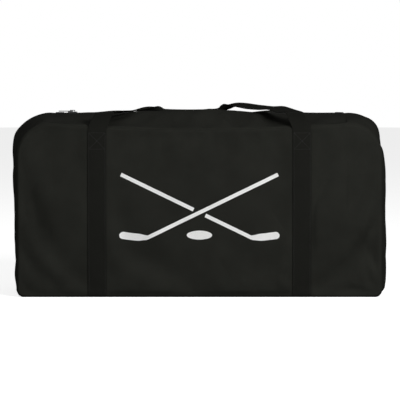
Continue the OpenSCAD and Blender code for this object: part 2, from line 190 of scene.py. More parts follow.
class Finish:
    """A material being put together round one Principled shader."""

    def __init__(self, name):
        self.material = bpy.data.materials.new(name)
        self.material.use_nodes = True
        self.tree = self.material.node_tree
        self.tree.nodes.clear()
        self.shader = self.tree.nodes.new("ShaderNodeBsdfPrincipled")
        output = self.tree.nodes.new("ShaderNodeOutputMaterial")
        self.tree.links.new(self.shader.outputs[0], output.inputs["Surface"])

    def node(self, kind, settings=None, inputs=None, output=0):
        """Adds one node: its settings first, then the values or links of its sockets."""
        made = self.tree.nodes.new(kind)
        for key, value in (settings or {}).items():
            if key == "stops":
                self._stops(made.color_ramp, value)
            else:
                setattr(made, key, value)
        for key, value in (inputs or {}).items():
            self.join(made.inputs[key], value)
        return Value(self, made.outputs[output])

    @staticmethod
    def _stops(ramp, stops):
        while len(ramp.elements) < len(stops):
            ramp.elements.new(0.5)
        for element, (place, shade) in zip(ramp.elements, stops):
            element.position = place
            element.color = (shade, shade, shade, 1)

    def join(self, socket, value):
        """Links a Value to a socket, or sets the socket's own number or colour."""
        if isinstance(value, Value):
            self.tree.links.new(value.socket, socket)
        elif hasattr(value, "__len__") and len(value) == 3 and socket.type == "RGBA":
            socket.default_value = (*value, 1)
        else:
            socket.default_value = value

    def surface(self, **sockets):
        """Sets the shader's sockets; Base_Color stands for Base Color."""
        for key, value in sockets.items():
            self.join(self.shader.inputs[key.replace("_", " ")], value)

    def across_and_along(self):
        """The piece's own flat coordinates in metres: u across it and v along it."""
        flat = self.node("ShaderNodeUVMap", {"uv_map": "flat"})
        split = self.node("ShaderNodeSeparateXYZ", inputs={0: flat})
        return flat, split, Value(self, split.socket.node.outputs[1])

    def noise(self, where, scale, detail=3.0, rough=0.55):
        """Soft noise from 0 to 1 whose lumps are about 1 / scale metres."""
        return self.node(
            "ShaderNodeTexNoise", {"noise_dimensions": "3D"},
            {"Vector": where, "Scale": scale, "Detail": detail, "Roughness": rough},
        )

    def mix(self, share, first, second):
        """A colour between first and second."""
        return self.node(
            "ShaderNodeMix", {"data_type": "RGBA"}, {0: share, 6: first, 7: second}, output=2
        )

    def ramp(self, value, *stops):
        """Value read off a grey ramp of (place, shade) stops."""
        return self.node("ShaderNodeValToRGB", {"stops": stops}, {0: value})

    def bump(self, height, depth, strength=1.0):
        """Feeds a height pattern, scaled to depth in metres, to the shader's normal."""
        relief = self.node(
            "ShaderNodeBump", inputs={"Strength": strength, "Distance": depth, "Height": height}
        )
        self.surface(Normal=relief)


def shade(tint, share):
    """A colour made lighter or darker by a share."""
    return tuple(min(1.0, part * share) for part in tint)


def cloth_finish(name, tint, thread, gloss):
    """Plain weave of fine threads under a thin coating, rubbed a little unevenly; its colour is
    lighter at random slubs and on the raised crossings of the weave, a painted highlight.
    """
    f = Finish(name)
    flat, u, v = f.across_and_along()
    turn = 2 * math.pi / thread
    weave = (u * turn).wave() * (v * turn).wave()
    slub = f.noise(flat, 900, 2)
    patches = f.noise(flat, 9, 4, 0.6)
    rub = f.ramp(patches, (0.35, 0), (0.7, 1))
    tone = f.mix(rub, shade(tint, 0.86), shade(tint, 1.16))
    # lighter at random slubs of yarn, and lighter on the raised crossings of the weave that the bump
    # also raises: a painted highlight, with painted shade in the gaps
    fleck_and_weave_highlight = f.ramp(weave * 0.35 + slub, (0.3, 0), (0.95, 1))
    f.surface(
        Base_Color=f.mix(fleck_and_weave_highlight * 0.45, tone, shade(tint, 1.9)),
        Roughness=gloss + 0.10 * patches,
        Specular_IOR_Level=0.02,
    )
    crush = f.noise(flat, 55, 4, 0.62)
    f.bump(weave * 0.06 + slub * 0.05 + crush * 0.8, 0.9 * MM, 0.55)
    return f.material


def webbing_finish(name, tint, rib, gloss):
    """Ribbed webbing: ribs across it, in two slanting halves of twill."""
    f = Finish(name)
    flat, u, v = f.across_and_along()
    turn = 2 * math.pi / rib
    twill = ((u.size() * 0.9 + v) * turn).wave()
    ends = (u * (turn * 1.35)).wave()
    fuzz = f.noise(flat, 1500, 3)
    worn = f.noise(flat, 14, 4)
    weave = f.ramp(twill * 0.34 + ends * 0.16 + 0.5, (0.1, 0), (0.9, 1))
    tone = f.mix(worn, shade(tint, 0.8), shade(tint, 1.25))
    # weave is the ribs' relief, fed to the bump below; the colour follows it, lighter on the raised
    # ribs and darker between them: a painted highlight and painted shade
    f.surface(
        Base_Color=f.mix(weave * 0.5, tone, shade(tint, 1.8)),
        Roughness=gloss + 0.12 * fuzz,
        Specular_IOR_Level=0.02,
    )
    f.bump(weave + fuzz * 0.3, 0.35 * MM, 0.8)
    return f.material


def thread_finish(tint):
    """Bonded thread: two plies laid round each other, each lighter on its crest and darker in the
    groove between them, a painted highlight and painted shade.
    """
    f = Finish("sewing_thread")
    _, u, v = f.across_and_along()
    ply = ((v + u * 1.2) * (2 * math.pi / (0.8 * MM))).wave()
    # ply is the plies' relief, fed to the bump below; the colour follows it: painted highlight on the
    # crests, painted shade in the grooves
    f.surface(
        Base_Color=f.mix(ply * 0.5 + 0.5, shade(tint, 0.6), shade(tint, 1.5)),
        Roughness=0.5,
        Specular_IOR_Level=0.35,
    )
    f.bump(ply, 0.1 * MM, 0.6)
    return f.material


def coil_finish(tint):
    """Drawn nylon of the coil, with a fine grain in its tone and gloss."""
    f = Finish("zipper_coil_nylon")
    where = f.node("ShaderNodeTexCoord", output=3)
    grain = f.noise(where, 400, 3)
    f.surface(
        Base_Color=f.mix(grain, shade(tint, 0.7), shade(tint, 1.5)),
        Roughness=0.28 + 0.2 * grain,
        Specular_IOR_Level=0.45,
    )
    f.bump(grain, 0.05 * MM, 0.4)
    return f.material


def enamel_finish(tint):
    """Black enamel on cast zinc, with a pebbled skin and thin worn patches."""
    f = Finish("black_enamel")
    where = f.node("ShaderNodeTexCoord", output=3)
    pebble = f.noise(where, 1400, 2)
    wear = f.ramp(f.noise(where, 190, 5, 0.7), (0.62, 0), (0.74, 1))
    f.surface(
        Base_Color=f.mix(wear, tint, (0.16, 0.155, 0.15)),
        Metallic=0.1 + 0.6 * wear,
        Roughness=0.42 + 0.12 * pebble,
        Coat_Weight=0.12 - 0.1 * wear,
    )
    f.bump(pebble, 0.03 * MM, 0.5)
    return f.material


def ink_finish(tint):
    """Screen ink bedded in the weave, with a few fine cracks and thin spots."""
    f = Finish("screen_ink")
    flat, u, v = f.across_and_along()
    turn = 2 * math.pi / (0.95 * MM)
    weave = (u * turn).wave() * (v * turn).wave()
    cells = f.node(
        "ShaderNodeTexVoronoi", {"feature": "DISTANCE_TO_EDGE"}, {"Vector": flat, "Scale": 230.0}
    )
    crack = f.ramp(cells, (0.0, 1), (0.018, 0))
    thin = f.ramp(f.noise(flat, 120, 5, 0.7), (0.66, 0), (0.8, 1))
    fade = f.noise(flat, 16, 2)
    tone = f.mix(fade, shade(tint, 0.88), shade(tint, 1.06))
    worn = crack * 0.35 + thin * 0.25
    f.surface(
        Base_Color=f.mix(worn, tone, (0.25, 0.25, 0.25)),
        Roughness=0.5 + 0.15 * fade,
        Specular_IOR_Level=0.4,
    )
    f.bump(weave * 0.12 - crack * 0.6, 0.12 * MM, 0.6)
    return f.material


def board_finish(tint):
    """Extruded plastic board with a fine lengthwise grain and scuffs."""
    f = Finish("stiffening_board")
    where = f.node("ShaderNodeTexCoord", output=3)
    long = f.node("ShaderNodeMapping", inputs={0: where, 3: (0.06, 1, 1)})
    grain = f.noise(long, 240, 4)
    scuff = f.ramp(f.noise(where, 30, 6, 0.75), (0.55, 0), (0.75, 1))
    f.surface(
        Base_Color=f.mix(scuff, tint, shade(tint, 2.6)),
        Roughness=0.42 + 0.25 * scuff,
    )
    f.bump(grain + scuff * 0.5, 0.15 * MM, 0.5)
    return f.material


FINISHES = {
    "cloth": lambda c: cloth_finish("coated_cloth", c.cloth, 0.95 * MM, 0.74),
    "base_cloth": lambda c: cloth_finish("base_cloth", c.base_cloth, 1.3 * MM, 0.7),
    "webbing": lambda c: webbing_finish("ribbed_webbing", c.webbing, 2.2 * MM, 0.76),
    "thread": lambda c: thread_finish(c.thread),
    "binding": lambda c: webbing_finish("binding_tape", c.binding, 1.4 * MM, 0.55),
    "zipper_tape": lambda c: webbing_finish("woven_zipper_tape", c.tape, 1.6 * MM, 0.6),
    "zipper_coil": lambda c: coil_finish(c.coil),
    "zipper_metal": lambda c: enamel_finish(c.enamel),
    "print_ink": lambda c: ink_finish(c.ink),
    "board": lambda c: board_finish(c.board),
}
made_finishes = {}


def finish_for(slot):
    """The material of one of the record's slots, made once."""
    if slot not in made_finishes:
        made_finishes[slot] = FINISHES[slot](bpy.context.scene.kit_bag_colours)
    return made_finishes[slot]


# ---------------------------------------------------------------- meshes


def turned_in(points, faces, away):
    """Whether four-sided faces, taken together, turn against the given directions."""
    a, b, c, d = (points[faces[:, k]] for k in range(4))
    return np.einsum("ij,ij->", np.cross(c - a, d - b), away) < 0


def ring_quads(index):
    """Faces between rings of point numbers (rings, sides)."""
    turned = np.roll(index, -1, axis=1)
    return np.stack([index[:-1], turned[:-1], turned[1:], index[1:]], -1).reshape(-1, 4)


def distance_along(path):
    """How far along a path of points each of them lies."""
    return np.concatenate([[0], np.cumsum(np.linalg.norm(np.diff(path, axis=0), axis=1))])


def read_off(at, run, rows):
    """Rows of three numbers, read off at places between their distances along a path."""
    return np.stack([np.interp(at, run, rows[:, k]) for k in range(3)], -1)


def sheet_parts(outer, inner, keep=None, flat=None):
    """A closed slab between two grids of points of shape (rows, columns, 3).

    Cells whose keep is False are left out. Every edge of what is kept gets a rim between
    the two grids, and all faces turn away from the slab. Returns points, faces and flat
    coordinates.
    """
    rows, columns = outer.shape[:2]
    count = rows * columns
    index = np.arange(count).reshape(rows, columns)
    if keep is None:
        keep = np.ones((rows - 1, columns - 1), bool)
    corners = np.stack([index[:-1, :-1], index[1:, :-1], index[1:, 1:], index[:-1, 1:]], -1)
    points = np.concatenate([outer.reshape(-1, 3), inner.reshape(-1, 3)])
    kept = corners[keep]
    away = (points[kept] - points[kept + count]).mean(1)
    framed = np.pad(keep, 1)
    beyond = [framed[1:-1, :-2], framed[2:, 1:-1], framed[1:-1, 2:], framed[:-2, 1:-1]]
    faces = [kept, kept[:, ::-1] + count]
    for k, next_cell in enumerate(beyond):
        edge = corners[keep & ~next_cell]
        p, q = edge[:, k], edge[:, (k + 1) % 4]
        faces.append(np.stack([q, p, p + count, q + count], -1))
    faces = np.concatenate(faces)
    if turned_in(points, kept, away):
        faces = faces[:, ::-1]
    used, faces = np.unique(faces, return_inverse=True)
    if flat is None:
        flat = np.stack([outer[..., 0], outer[..., 2]], -1)
    flat = np.concatenate([flat.reshape(-1, 2)] * 2)
    return points[used], faces.reshape(-1, 4), flat[used]


def tube_parts(rings, flat_along):
    """A closed tube through rings of points (count, sides, 3), with a flat cap at each end."""
    count, sides = rings.shape[:2]
    points = rings.reshape(-1, 3)
    index = np.arange(count * sides).reshape(count, sides)
    faces = ring_quads(index)
    centre = rings.mean(1)
    out = points[faces].mean(1) - np.repeat((centre[:-1] + centre[1:]) / 2, sides, axis=0)
    caps = np.stack([index[0], index[-1][::-1]])
    if turned_in(points, faces, out):
        faces = faces[:, ::-1]
    else:
        caps = caps[:, ::-1]
    flat = np.stack(
        [np.tile(np.linspace(0, MM, sides), count), np.repeat(flat_along, sides)], -1
    )
    return points, faces, flat, caps


def add_piece(name, parts, slot, bodies, replaces=(), edge=50):
    """Makes one object from lists of parts and hangs it on its body; given two bodies, it hangs it on
    neither.

    parts holds (points, faces, flat, more faces...) tuples; edges over edge degrees are sharp.
    """
    points, faces, flats, total = [], [], [], 0
    for part in parts:
        points.append(part[0])
        flats.append(part[2])
        for group in (part[1], *part[3:]):
            faces.extend((group + total).tolist())
        total += len(part[0])
    flats = np.concatenate(flats)
    mesh = bpy.data.meshes.new(name)
    mesh.from_pydata(np.concatenate(points).tolist(), [], faces)
    corner = np.empty(len(mesh.loops), np.int32)
    mesh.loops.foreach_get("vertex_index", corner)
    mesh.uv_layers.new(name="flat").data.foreach_set("uv", flats[corner].ravel())
    mesh.shade_smooth()
    mesh.set_sharp_from_angle(angle=math.radians(edge))
    mesh.materials.append(finish_for(slot))
    piece = bpy.data.objects.new(name, mesh)
    bpy.context.scene.collection.objects.link(piece)
    if len(bodies) == 2:
        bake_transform(piece)
    else:
        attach(piece, bodies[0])
    if replaces:
        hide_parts(*replaces)


def finish_node(name, slot):
    """Gives a piece of the frame, used as it is, the material of its slot."""
    node = frame["nodes"][name]
    node.data.materials.clear()
    node.data.materials.append(finish_for(slot))


def fall(distance, reach):
    """1 at distance 0, falling to 0 as a bell of that reach."""
    return np.exp(-((distance / reach) ** 2))


def ease(share):
    """Smooth step of a share from 0 to 1."""
    share = np.clip(share, 0, 1)
    return share * share * (3 - 2 * share)


def unit(vectors):
    """Vectors at length 1."""
    return vectors / np.maximum(np.linalg.norm(vectors, axis=-1, keepdims=True), 1e-12)


def grid_normals(points):
    """Cross product of a grid's two tangents, at length 1."""
    down, along = np.gradient(points, axis=0), np.gradient(points, axis=1)
    return unit(np.cross(down, along))


def smooth_curve(stations, steps):
    """Catmull-Rom curve through rows of numbers, with steps points to each stretch."""
    p = np.asarray(stations, float)
    padded = np.concatenate([2 * p[:1] - p[1:2], p, 2 * p[-1:] - p[-2:-1]])
    f = np.tile(np.arange(steps) / steps, len(p) - 1)[:, None]
    i = np.repeat(np.arange(len(p) - 1), steps)
    a, b, c, d = (padded[i + k] for k in range(4))
    run = 2 * b + (c - a) * f + (2 * a - 5 * b + 4 * c - d) * f**2 + (3 * b - a - 3 * c + d) * f**3
    return np.concatenate([run / 2, p[-1:]])


# ---------------------------------------------------------------- the shell's shape


def half_width(z):
    """Half the panel's width at height z: straight sides between two corner arcs."""
    low = np.clip(BASE_R - z, 0, BASE_R)
    high = np.clip(z - (BODY_H - TOP_R), 0, TOP_R)
    in_base = BASE_R - np.sqrt(BASE_R**2 - low**2)
    in_top = TOP_R - np.sqrt(TOP_R**2 - high**2)
    return HALF_L - in_base - in_top


def outline_depth(x, z):
    """Distance inwards from the panel's outline, and the outward direction (x, z) there.

    The outline is a rectangle with rounded corners: q is how far a point lies beyond the
    corner's centre, and the depth is the corner's radius less the length of q.
    """
    radius = np.where(z > BODY_H / 2, TOP_R, BASE_R)
    q_x = np.abs(x) - (HALF_L - radius)
    q_z = np.abs(z - BODY_H / 2) - (BODY_H / 2 - radius)
    corner = (q_x > 0) & (q_z > 0)
    reach = np.where(corner, np.hypot(q_x, q_z), np.maximum(q_x, q_z))
    n_x = np.where(corner, q_x / np.maximum(reach, 1e-9), q_x > q_z)
    n_z = np.where(corner, q_z / np.maximum(reach, 1e-9), q_x <= q_z)
    return radius - reach, n_x * np.sign(x), n_z * np.sign(z - BODY_H / 2)


# How far each end bulges in its middle, as (place, mm): places 0 to 1 climb the straight side
# and 1 to 2 go round the top corner.
LEFT_CROWN = [
    (0, 7), (0.25, 11.5), (0.55, 14), (0.9, 16.5), (1.0, 17), (1.15, 19), (1.37, 26), (1.5, 27.5),
    (1.65, 24.5), (1.8, 20.5), (2, 16),
]
RIGHT_CROWN = [
    (0, 16), (0.3, 19), (0.55, 17.5), (0.75, 14.5), (0.95, 11.5), (1.1, 9), (1.3, 13),
    (1.5, 21), (1.62, 23), (1.8, 21), (2, 16),
]


def end_crown(x, z, n_z):
    """How far the gusset bulges at its middle, read off a smooth curve through the lists."""
    climb = np.clip(z / (BODY_H - TOP_R), 0, 1)
    place = climb + np.degrees(np.arcsin(np.clip(n_z, 0, 1))) / 90
    crowns = [smooth_curve(rows, 12) for rows in (LEFT_CROWN, RIGHT_CROWN)]
    left, right = (np.interp(place, *curve.T) for curve in crowns)
    return np.where(x < 0, left, right) * MM


def slump(points, sag):
    """Lowers the top between its corners, most at the two long seams.

    The drop is sag * (1 - (x / 0.96 of half the length)^2)^1.3 * (z / height)^1.5 *
    (|y| / half the depth)^3.
    """
    x, y, z = np.moveaxis(points, -1, 0)
    span = np.clip(1 - (x / (0.96 * HALF_L)) ** 2, 0, 1) ** 1.3
    high = np.clip(z / BODY_H, 0, 1.2) ** 1.5
    out = np.clip(np.abs(y) / HALF_D, 0, 1) ** 3
    return points - np.stack([0 * x, 0 * x, sag * span * high * out], -1)


def ridges(a, b, lines):
    """Soft folds over a plane (a, b), in metres.

    Each line is (a0, b0, a1, b1, width, height): a bell across it of that width and height,
    which fades towards both ends as the root of a sine.
    """
    total = np.zeros(np.shape(a))
    for a0, b0, a1, b1, width, height in np.asarray(lines) * MM:
        run_a, run_b = a1 - a0, b1 - b0
        share = ((a - a0) * run_a + (b - b0) * run_b) / (run_a**2 + run_b**2)
        share = np.clip(share, 0, 1)
        off = np.hypot(a - a0 - share * run_a, b - b0 - share * run_b)
        total += height * fall(off, width) * np.sqrt(np.sin(math.pi * share) + 1e-9)
    return total


def ripples(a, b, seed, wave, height):
    """Gentle unevenness: eight plane waves of about one wavelength, in seeded directions."""
    rng = np.random.default_rng(seed)
    angle, phase = rng.uniform(0, 2 * math.pi, (2, 8))
    turn = 2 * math.pi / (wave * rng.uniform(0.7, 1.5, 8))
    a, b = a[..., None], b[..., None]
    return height * np.sin(turn * (a * np.cos(angle) + b * np.sin(angle)) + phase).mean(-1) * 2


# Folds of the front, in millimetres of (x, z): from, to, width and height.
FRONT_FOLDS = [
    (-440, 300, -300, 215, 52, 9), (-400, 420, -330, 250, 34, 3.5), (-455, 120, -360, 60, 40, 4),
    (-190, 205, 10, 110, 40, 6), (-230, 140, -60, 60, 26, -3.5), (60, 100, 215, 205, 42, 5),
    (120, 50, 235, 130, 24, -3), (330, 290, 475, 205, 60, 10), (300, 205, 450, 175, 80, 12),
    (300, 20, 440, 34, 34, -5), (425, 190, 478, 60, 14, -3), (450, 110, 482, 28, 9, 3.5),
    (400, 40, 470, 24, 9, 2.5),
    (-100, 420, 120, 380, 40, 2.5), (210, 60, 245, 20, 14, 3), (-470, 330, -440, 120, 12, 2.5),
]
# Folds of the back, likewise.
BACK_FOLDS = [
    (-430, 310, -310, 190, 55, 8), (330, 330, 450, 190, 52, 8), (-200, 220, 40, 120, 46, 5),
    (-60, 150, 210, 210, 40, 5), (300, 60, 440, 110, 42, -5), (-440, 90, -330, 50, 36, -4),
    (-120, 400, 160, 430, 34, 3),
]
# Folds of the top, in millimetres of (x, y).
TOP_FOLDS = [
    (-130, -180, -40, -60, 26, 6), (-72, -192, -88, -120, 12, -4), (-30, -188, 30, -30, 22, 6.5),
    (22, -192, -10, -120, 11, -3.5), (70, -190, 60, -95, 16, 5), (120, -188, 60, -110, 13, -5),
    (150, -185, 175, -30, 24, 7), (212, -192, 150, -110, 12, -4), (232, -180, 262, -90, 17, 5),
    (-255, -175, -150, -110, 18, 4.5), (-240, -120, -130, -35, 22, 5), (-330, -170, -300, -90, 20, 2),
    (318, -190, 352, -120, 20, 2.5), (-420, -150, -350, -110, 24, 2), (390, -185, 440, -100, 26, 2),
    (-150, 180, -60, 90, 26, 4), (50, 192, 20, 120, 18, 4), (120, 185, 215, 100, 20, 5),
    (-290, 180, -215, 110, 24, 4), (290, 180, 250, 110, 20, 3.5), (20, -60, 130, -90, 18, 3.5),
]
# Folds of both ends, in millimetres of (y, z).
END_FOLDS = [
    (-150, 330, 60, 240, 30, 5), (-60, 120, 150, 180, 34, 5), (-160, 90, -60, 30, 18, 3),
    (60, 60, 170, 110, 22, -3.5), (20, 400, 150, 330, 24, 4), (-180, 420, -60, 360, 20, 3),
]


def every(count, step):
    """Indices of every step-th line of a grid, with its last line."""
    return np.unique(np.r_[np.arange(0, count, step), count - 1])


def drape(points, held, slack, gravity, frames=24, step=3, most=9 * MM):
    """How far cloth with some slack moves from a grid of points that is held at places.

    A coarse copy of the grid, every step-th line of it, runs as cloth for some frames. Its
    shift is spread back over the fine grid along both directions, smoothed, and kept under
    most by the soft limit shift * most / sqrt(most^2 + shift^2).
    """
    rows, columns = every(points.shape[0], step), every(points.shape[1], step)
    coarse = points[np.ix_(rows, columns)]
    index = np.arange(coarse[..., 0].size).reshape(coarse.shape[:2])
    quads = np.stack([index[:-1, :-1], index[1:, :-1], index[1:, 1:], index[:-1, 1:]], -1)
    mesh = bpy.data.meshes.new("cloth_run")
    mesh.from_pydata(coarse.reshape(-1, 3).tolist(), [], quads.reshape(-1, 4).tolist())
    run = bpy.data.objects.new("cloth_run", mesh)
    bpy.context.scene.collection.objects.link(run)
    pins = run.vertex_groups.new(name="held")
    for index_of, weight in enumerate(held[np.ix_(rows, columns)].ravel()):
        pins.add([index_of], float(weight), "REPLACE")
    cloth = run.modifiers.new("cloth", "CLOTH")
    settings = cloth.settings
    settings.quality = 6
    settings.mass = 0.25
    settings.air_damping = 4
    settings.tension_stiffness = settings.compression_stiffness = 25
    settings.shear_stiffness = 12
    settings.bending_stiffness = 1.2
    settings.vertex_group_mass = "held"
    settings.shrink_min = -slack
    settings.effector_weights.gravity = gravity
    cloth.collision_settings.use_collision = False
    cloth.point_cache.frame_start = 1
    cloth.point_cache.frame_end = frames
    scene = bpy.context.scene
    for frame_number in range(1, frames + 1):
        scene.frame_set(frame_number)
    settled = run.evaluated_get(bpy.context.evaluated_depsgraph_get()).data
    place = np.empty(len(mesh.vertices) * 3, np.float32)
    settled.vertices.foreach_get("co", place)
    shift = place.astype(float).reshape(coarse.shape) - coarse
    bpy.data.objects.remove(run)
    bpy.data.meshes.remove(mesh)
    scene.frame_set(1)
    fine = blur(spread(spread(shift, rows, 0), columns, 1), 2 * step)
    return fine * most / np.sqrt(most**2 + (fine**2).sum(-1, keepdims=True))


def blur(values, times):
    """A grid of values averaged with their neighbours, 1 : 2 : 1 each way, many times."""
    for _ in range(times):
        ringed = np.pad(values, ((1, 1), (0, 0), (0, 0)), mode="edge")
        values = (ringed[:-2] + 2 * values + ringed[2:]) / 4
        ringed = np.pad(values, ((0, 0), (1, 1), (0, 0)), mode="edge")
        values = (ringed[:, :-2] + 2 * values + ringed[:, 2:]) / 4
    return values


def spread(values, lines, axis):
    """Values on some lines of a grid, read off at every line between them."""
    target = np.arange(lines[-1] + 1)
    right = np.clip(np.searchsorted(lines, target), 1, len(lines) - 1)
    share = (target - lines[right - 1]) / (lines[right] - lines[right - 1])
    shape = [1, 1, 1]
    shape[axis] = -1
    share = share.reshape(shape)
    return np.take(values, right - 1, axis) * (1 - share) + np.take(values, right, axis) * share


def panel_rows():
    """Heights of the panel grid's lines, by arcs at both corners and even steps between."""
    low = BASE_R * (1 + np.sin(np.radians(np.arange(-90, 0, 15))))
    side = np.linspace(BASE_R, BODY_H - TOP_R, 64)
    high = BODY_H - TOP_R + TOP_R * np.sin(np.radians(np.arange(3.75, 91, 3.75)))
    return np.concatenate([low, side, high])


def panel_shares():
    """Places of the panel grid's columns, as shares of the half width from -1 to 1.

    They are even, crowd beside the side seams, and include the ends of the flaps' stretches
    and of the zipper's slot, so that the top is cut there exactly.
    """
    top_half = HALF_L - TOP_R
    cuts = np.array([MIDDLE * ZIP_HALF, ZIP_HALF, SLOT_END]) / top_half
    even = np.linspace(0, 1 - 11 * MM / HALF_L, 110)
    even = even[np.abs(even[:, None] - cuts).min(1) > 1.2 * MM]
    right = np.unique(np.concatenate([even, cuts, 1 - SEAM_LINES / HALF_L]))
    return np.concatenate([-right[:0:-1], right])


def depth_lines():
    """Places of the gusset grid's lines across the bag, crowded beside both seams."""
    half = np.concatenate(
        [[0], np.linspace(ZIP_EDGE, SEAM_Y - 12 * MM, 33), SEAM_Y - SEAM_LINES[::-1]]
    )
    return np.concatenate([-half[:0:-1], half])


def seam_relief(depth, sizes):
    """How far cloth is drawn in at a seam, and how far it rolls out again 7 mm from it."""
    return sizes.seam_groove * fall(depth, 2.4 * MM), 0.5 * MM * fall(depth - 7 * MM, 5 * MM)


def panel_grid(side, sizes):
    """Outer surface of the front (side -1) or back (1) panel, with its inner grid.

    It stands out from the seam plane by the face crown times (1 - (x / half width)^2) *
    (1 - (2 z / height - 1)^2), then slumps, folds, is draped, and is drawn in at its seams.
    """
    z = panel_rows()[:, None]
    x = half_width(z) * panel_shares()[None, :]
    z = np.broadcast_to(z, x.shape)
    depth, n_x, n_z = outline_depth(x, z)
    share = x / half_width(z)
    crown = sizes.face_crown * (1 - share**2) * (1 - (2 * z / BODY_H - 1) ** 2)
    proud = 0.8 * MM * (1 - np.exp(-depth / (2 * MM)))
    points = np.stack([x, side * (SEAM_Y + proud + crown), z], -1)
    clear = ease(depth / (26 * MM))
    folds = ridges(x, z, FRONT_FOLDS if side < 0 else BACK_FOLDS)
    folds += ripples(x, z, 5 + side, 90 * MM, 0.8 * MM)
    held = np.where(depth < HELD_RIM, 1.0, 0.0)
    near_strap = ease(1 - (np.abs(np.abs(x) - STRAP_X) - WEB_W / 2) / (14 * MM))
    held = np.maximum(held, 0.35 * near_strap)
    shift = drape(points, held, sizes.slack, 1.0)
    points = slump(points, sizes.seam_sag)
    points[..., 1] += side * folds * clear * (1 - 0.75 * near_strap)
    points += shift * clear[..., None]
    groove, roll = seam_relief(depth, sizes)
    points[..., 1] += side * roll
    points += groove[..., None] * np.stack([-n_x, np.full_like(x, -side), -n_z], -1)
    normals = grid_normals(points) * -1
    if side > 0:
        normals = -normals
    mitre = np.stack([n_x, np.full_like(x, float(side)), n_z], -1)
    edge = (depth < 1e-6)[..., None]
    inner = points - sizes.fabric * np.where(edge, mitre, normals)
    return points, inner


def gusset_grid(sizes):
    """Outer surface of the strip round both ends and over the top, with its inner grid.

    Rows follow the panels' outline from the left bottom corner over the top to the right
    one; columns run across the bag. It bulges by crown * (1 - (y / seam)^2) outwards.
    """
    side_z = panel_rows()
    side_x = half_width(side_z)
    top_x = (HALF_L - TOP_R) * panel_shares()[1:-1]
    x = np.concatenate([-side_x, top_x, side_x[::-1]])
    z = np.concatenate([side_z, np.full(len(top_x), BODY_H), side_z[::-1]])
    _, n_x, n_z = outline_depth(x, z)
    run = np.concatenate([[0], np.cumsum(np.hypot(np.diff(x), np.diff(z)))])
    y = np.broadcast_to(depth_lines()[None, :], (len(x), len(depth_lines())))
    x, z, n_x, n_z = (np.repeat(v[:, None], y.shape[1], 1) for v in (x, z, n_x, n_z))
    zeros = np.zeros_like(x)
    out = np.stack([n_x, zeros, n_z], -1)
    crown = end_crown(x, z, n_z) * (1 - (y / SEAM_Y) ** 2)
    low = np.minimum(n_z, 0)
    crown *= np.clip(1 + low, 0, 1) ** 0.35
    sideways = np.where((low < 0)[..., None], np.stack([np.sign(x), zeros, zeros], -1), out)
    points = np.stack([x, y, z], -1) + sideways * crown[..., None]
    depth = SEAM_Y - np.abs(y)
    on_top = np.clip(n_z, 0, 1)
    beside_zip = ease((np.abs(y) - 21 * MM) / (18 * MM))
    zipped = ease((SLOT_END + 0.04 - np.abs(x)) / 0.04) * on_top
    clear = ease(depth / (24 * MM)) * (1 - zipped * (1 - beside_zip))
    held = np.where((depth < HELD_RIM) | (z < HELD_RIM), 1.0, 0.0)
    held = np.maximum(held, np.where(np.abs(y) < 10 * MM, zipped, 0))
    shift = drape(points, held, 2.2 * sizes.slack, 0.6)
    shift -= blur(shift, 150)
    points = slump(points, sizes.seam_sag)
    mid_end = 0.3 + 0.7 * (y / SEAM_Y) ** 2
    folds = ridges(x, y, TOP_FOLDS) * on_top
    folds += ridges(y, z, END_FOLDS) * mid_end * (1 - on_top) ** 2
    folds += ripples(run[:, None] + zeros, y, 11, 70 * MM, 0.8 * MM)
    off_grip = 1 - fall(x + 25 * MM, 150 * MM) * ease((y - 45 * MM) / (25 * MM))
    points += out * (folds * clear * off_grip + top_puff(x, y, sizes.puff) * on_top)[..., None]
    points += shift * (clear * off_grip)[..., None]
    hem = 0.7 * MM * fall(np.abs(y) - ZIP_EDGE - 5 * MM, 5 * MM) * zipped
    groove, roll = seam_relief(depth, sizes)
    points += out * (roll + hem)[..., None]
    inward = np.stack([zeros, -np.sign(y), zeros], -1)
    points += groove[..., None] * (inward - out)
    edge = (depth < 1e-6)[..., None]
    inner = points - sizes.fabric * np.where(edge, out - inward, grid_normals(points))
    return points, inner, run


def top_puff(x, y, height):
    """How far the slack top stands up: a rise beside the zipper that falls away to the seam.

    Across, with q the share of the way from zipper to seam, it goes as q^0.8 (1 - q)^2, and
    along it is a flat-topped bell in front and two lower bells behind. A small tuck stands
    in front of the handle's left leg.
    """
    q = np.clip((np.abs(y) - ZIP_EDGE) / (SEAM_Y - ZIP_EDGE), 0, 1)
    peak = (0.8 / 2.8) ** 0.8 * (2 / 2.8) ** 2
    across = q**0.8 * (1 - q) ** 2 / peak
    front = np.exp(-(((x - 0.01) / 0.15) ** 4))
    behind = 0.55 * (fall(x - 0.2, 0.07) + fall(x + 0.22, 0.07))
    tuck = 0.9 * fall(x + 0.145, 0.05) * fall(y + 0.095, 0.04)
    return height * (across * np.where(y < 0, front, behind) + tuck)


@functools.lru_cache(maxsize=1)
def shell():
    """Every grid of the shell, worked out once for all the operators."""
    sizes = bpy.context.scene.kit_bag_sizes
    front, front_inner = panel_grid(-1, sizes)
    back, back_inner = panel_grid(1, sizes)
    top, top_inner, run = gusset_grid(sizes)
    return {
        "front": (front, front_inner), "back": (back, back_inner),
        "gusset": (top, top_inner), "run": run,
    }


def outline_index():
    """Row numbers of the gusset grid: the side's length, then a place on the top by its x."""
    rows = len(panel_rows())
    top_x = (HALF_L - TOP_R) * panel_shares()[1:-1]
    return rows, lambda x: rows + int(np.abs(top_x - x).argmin())


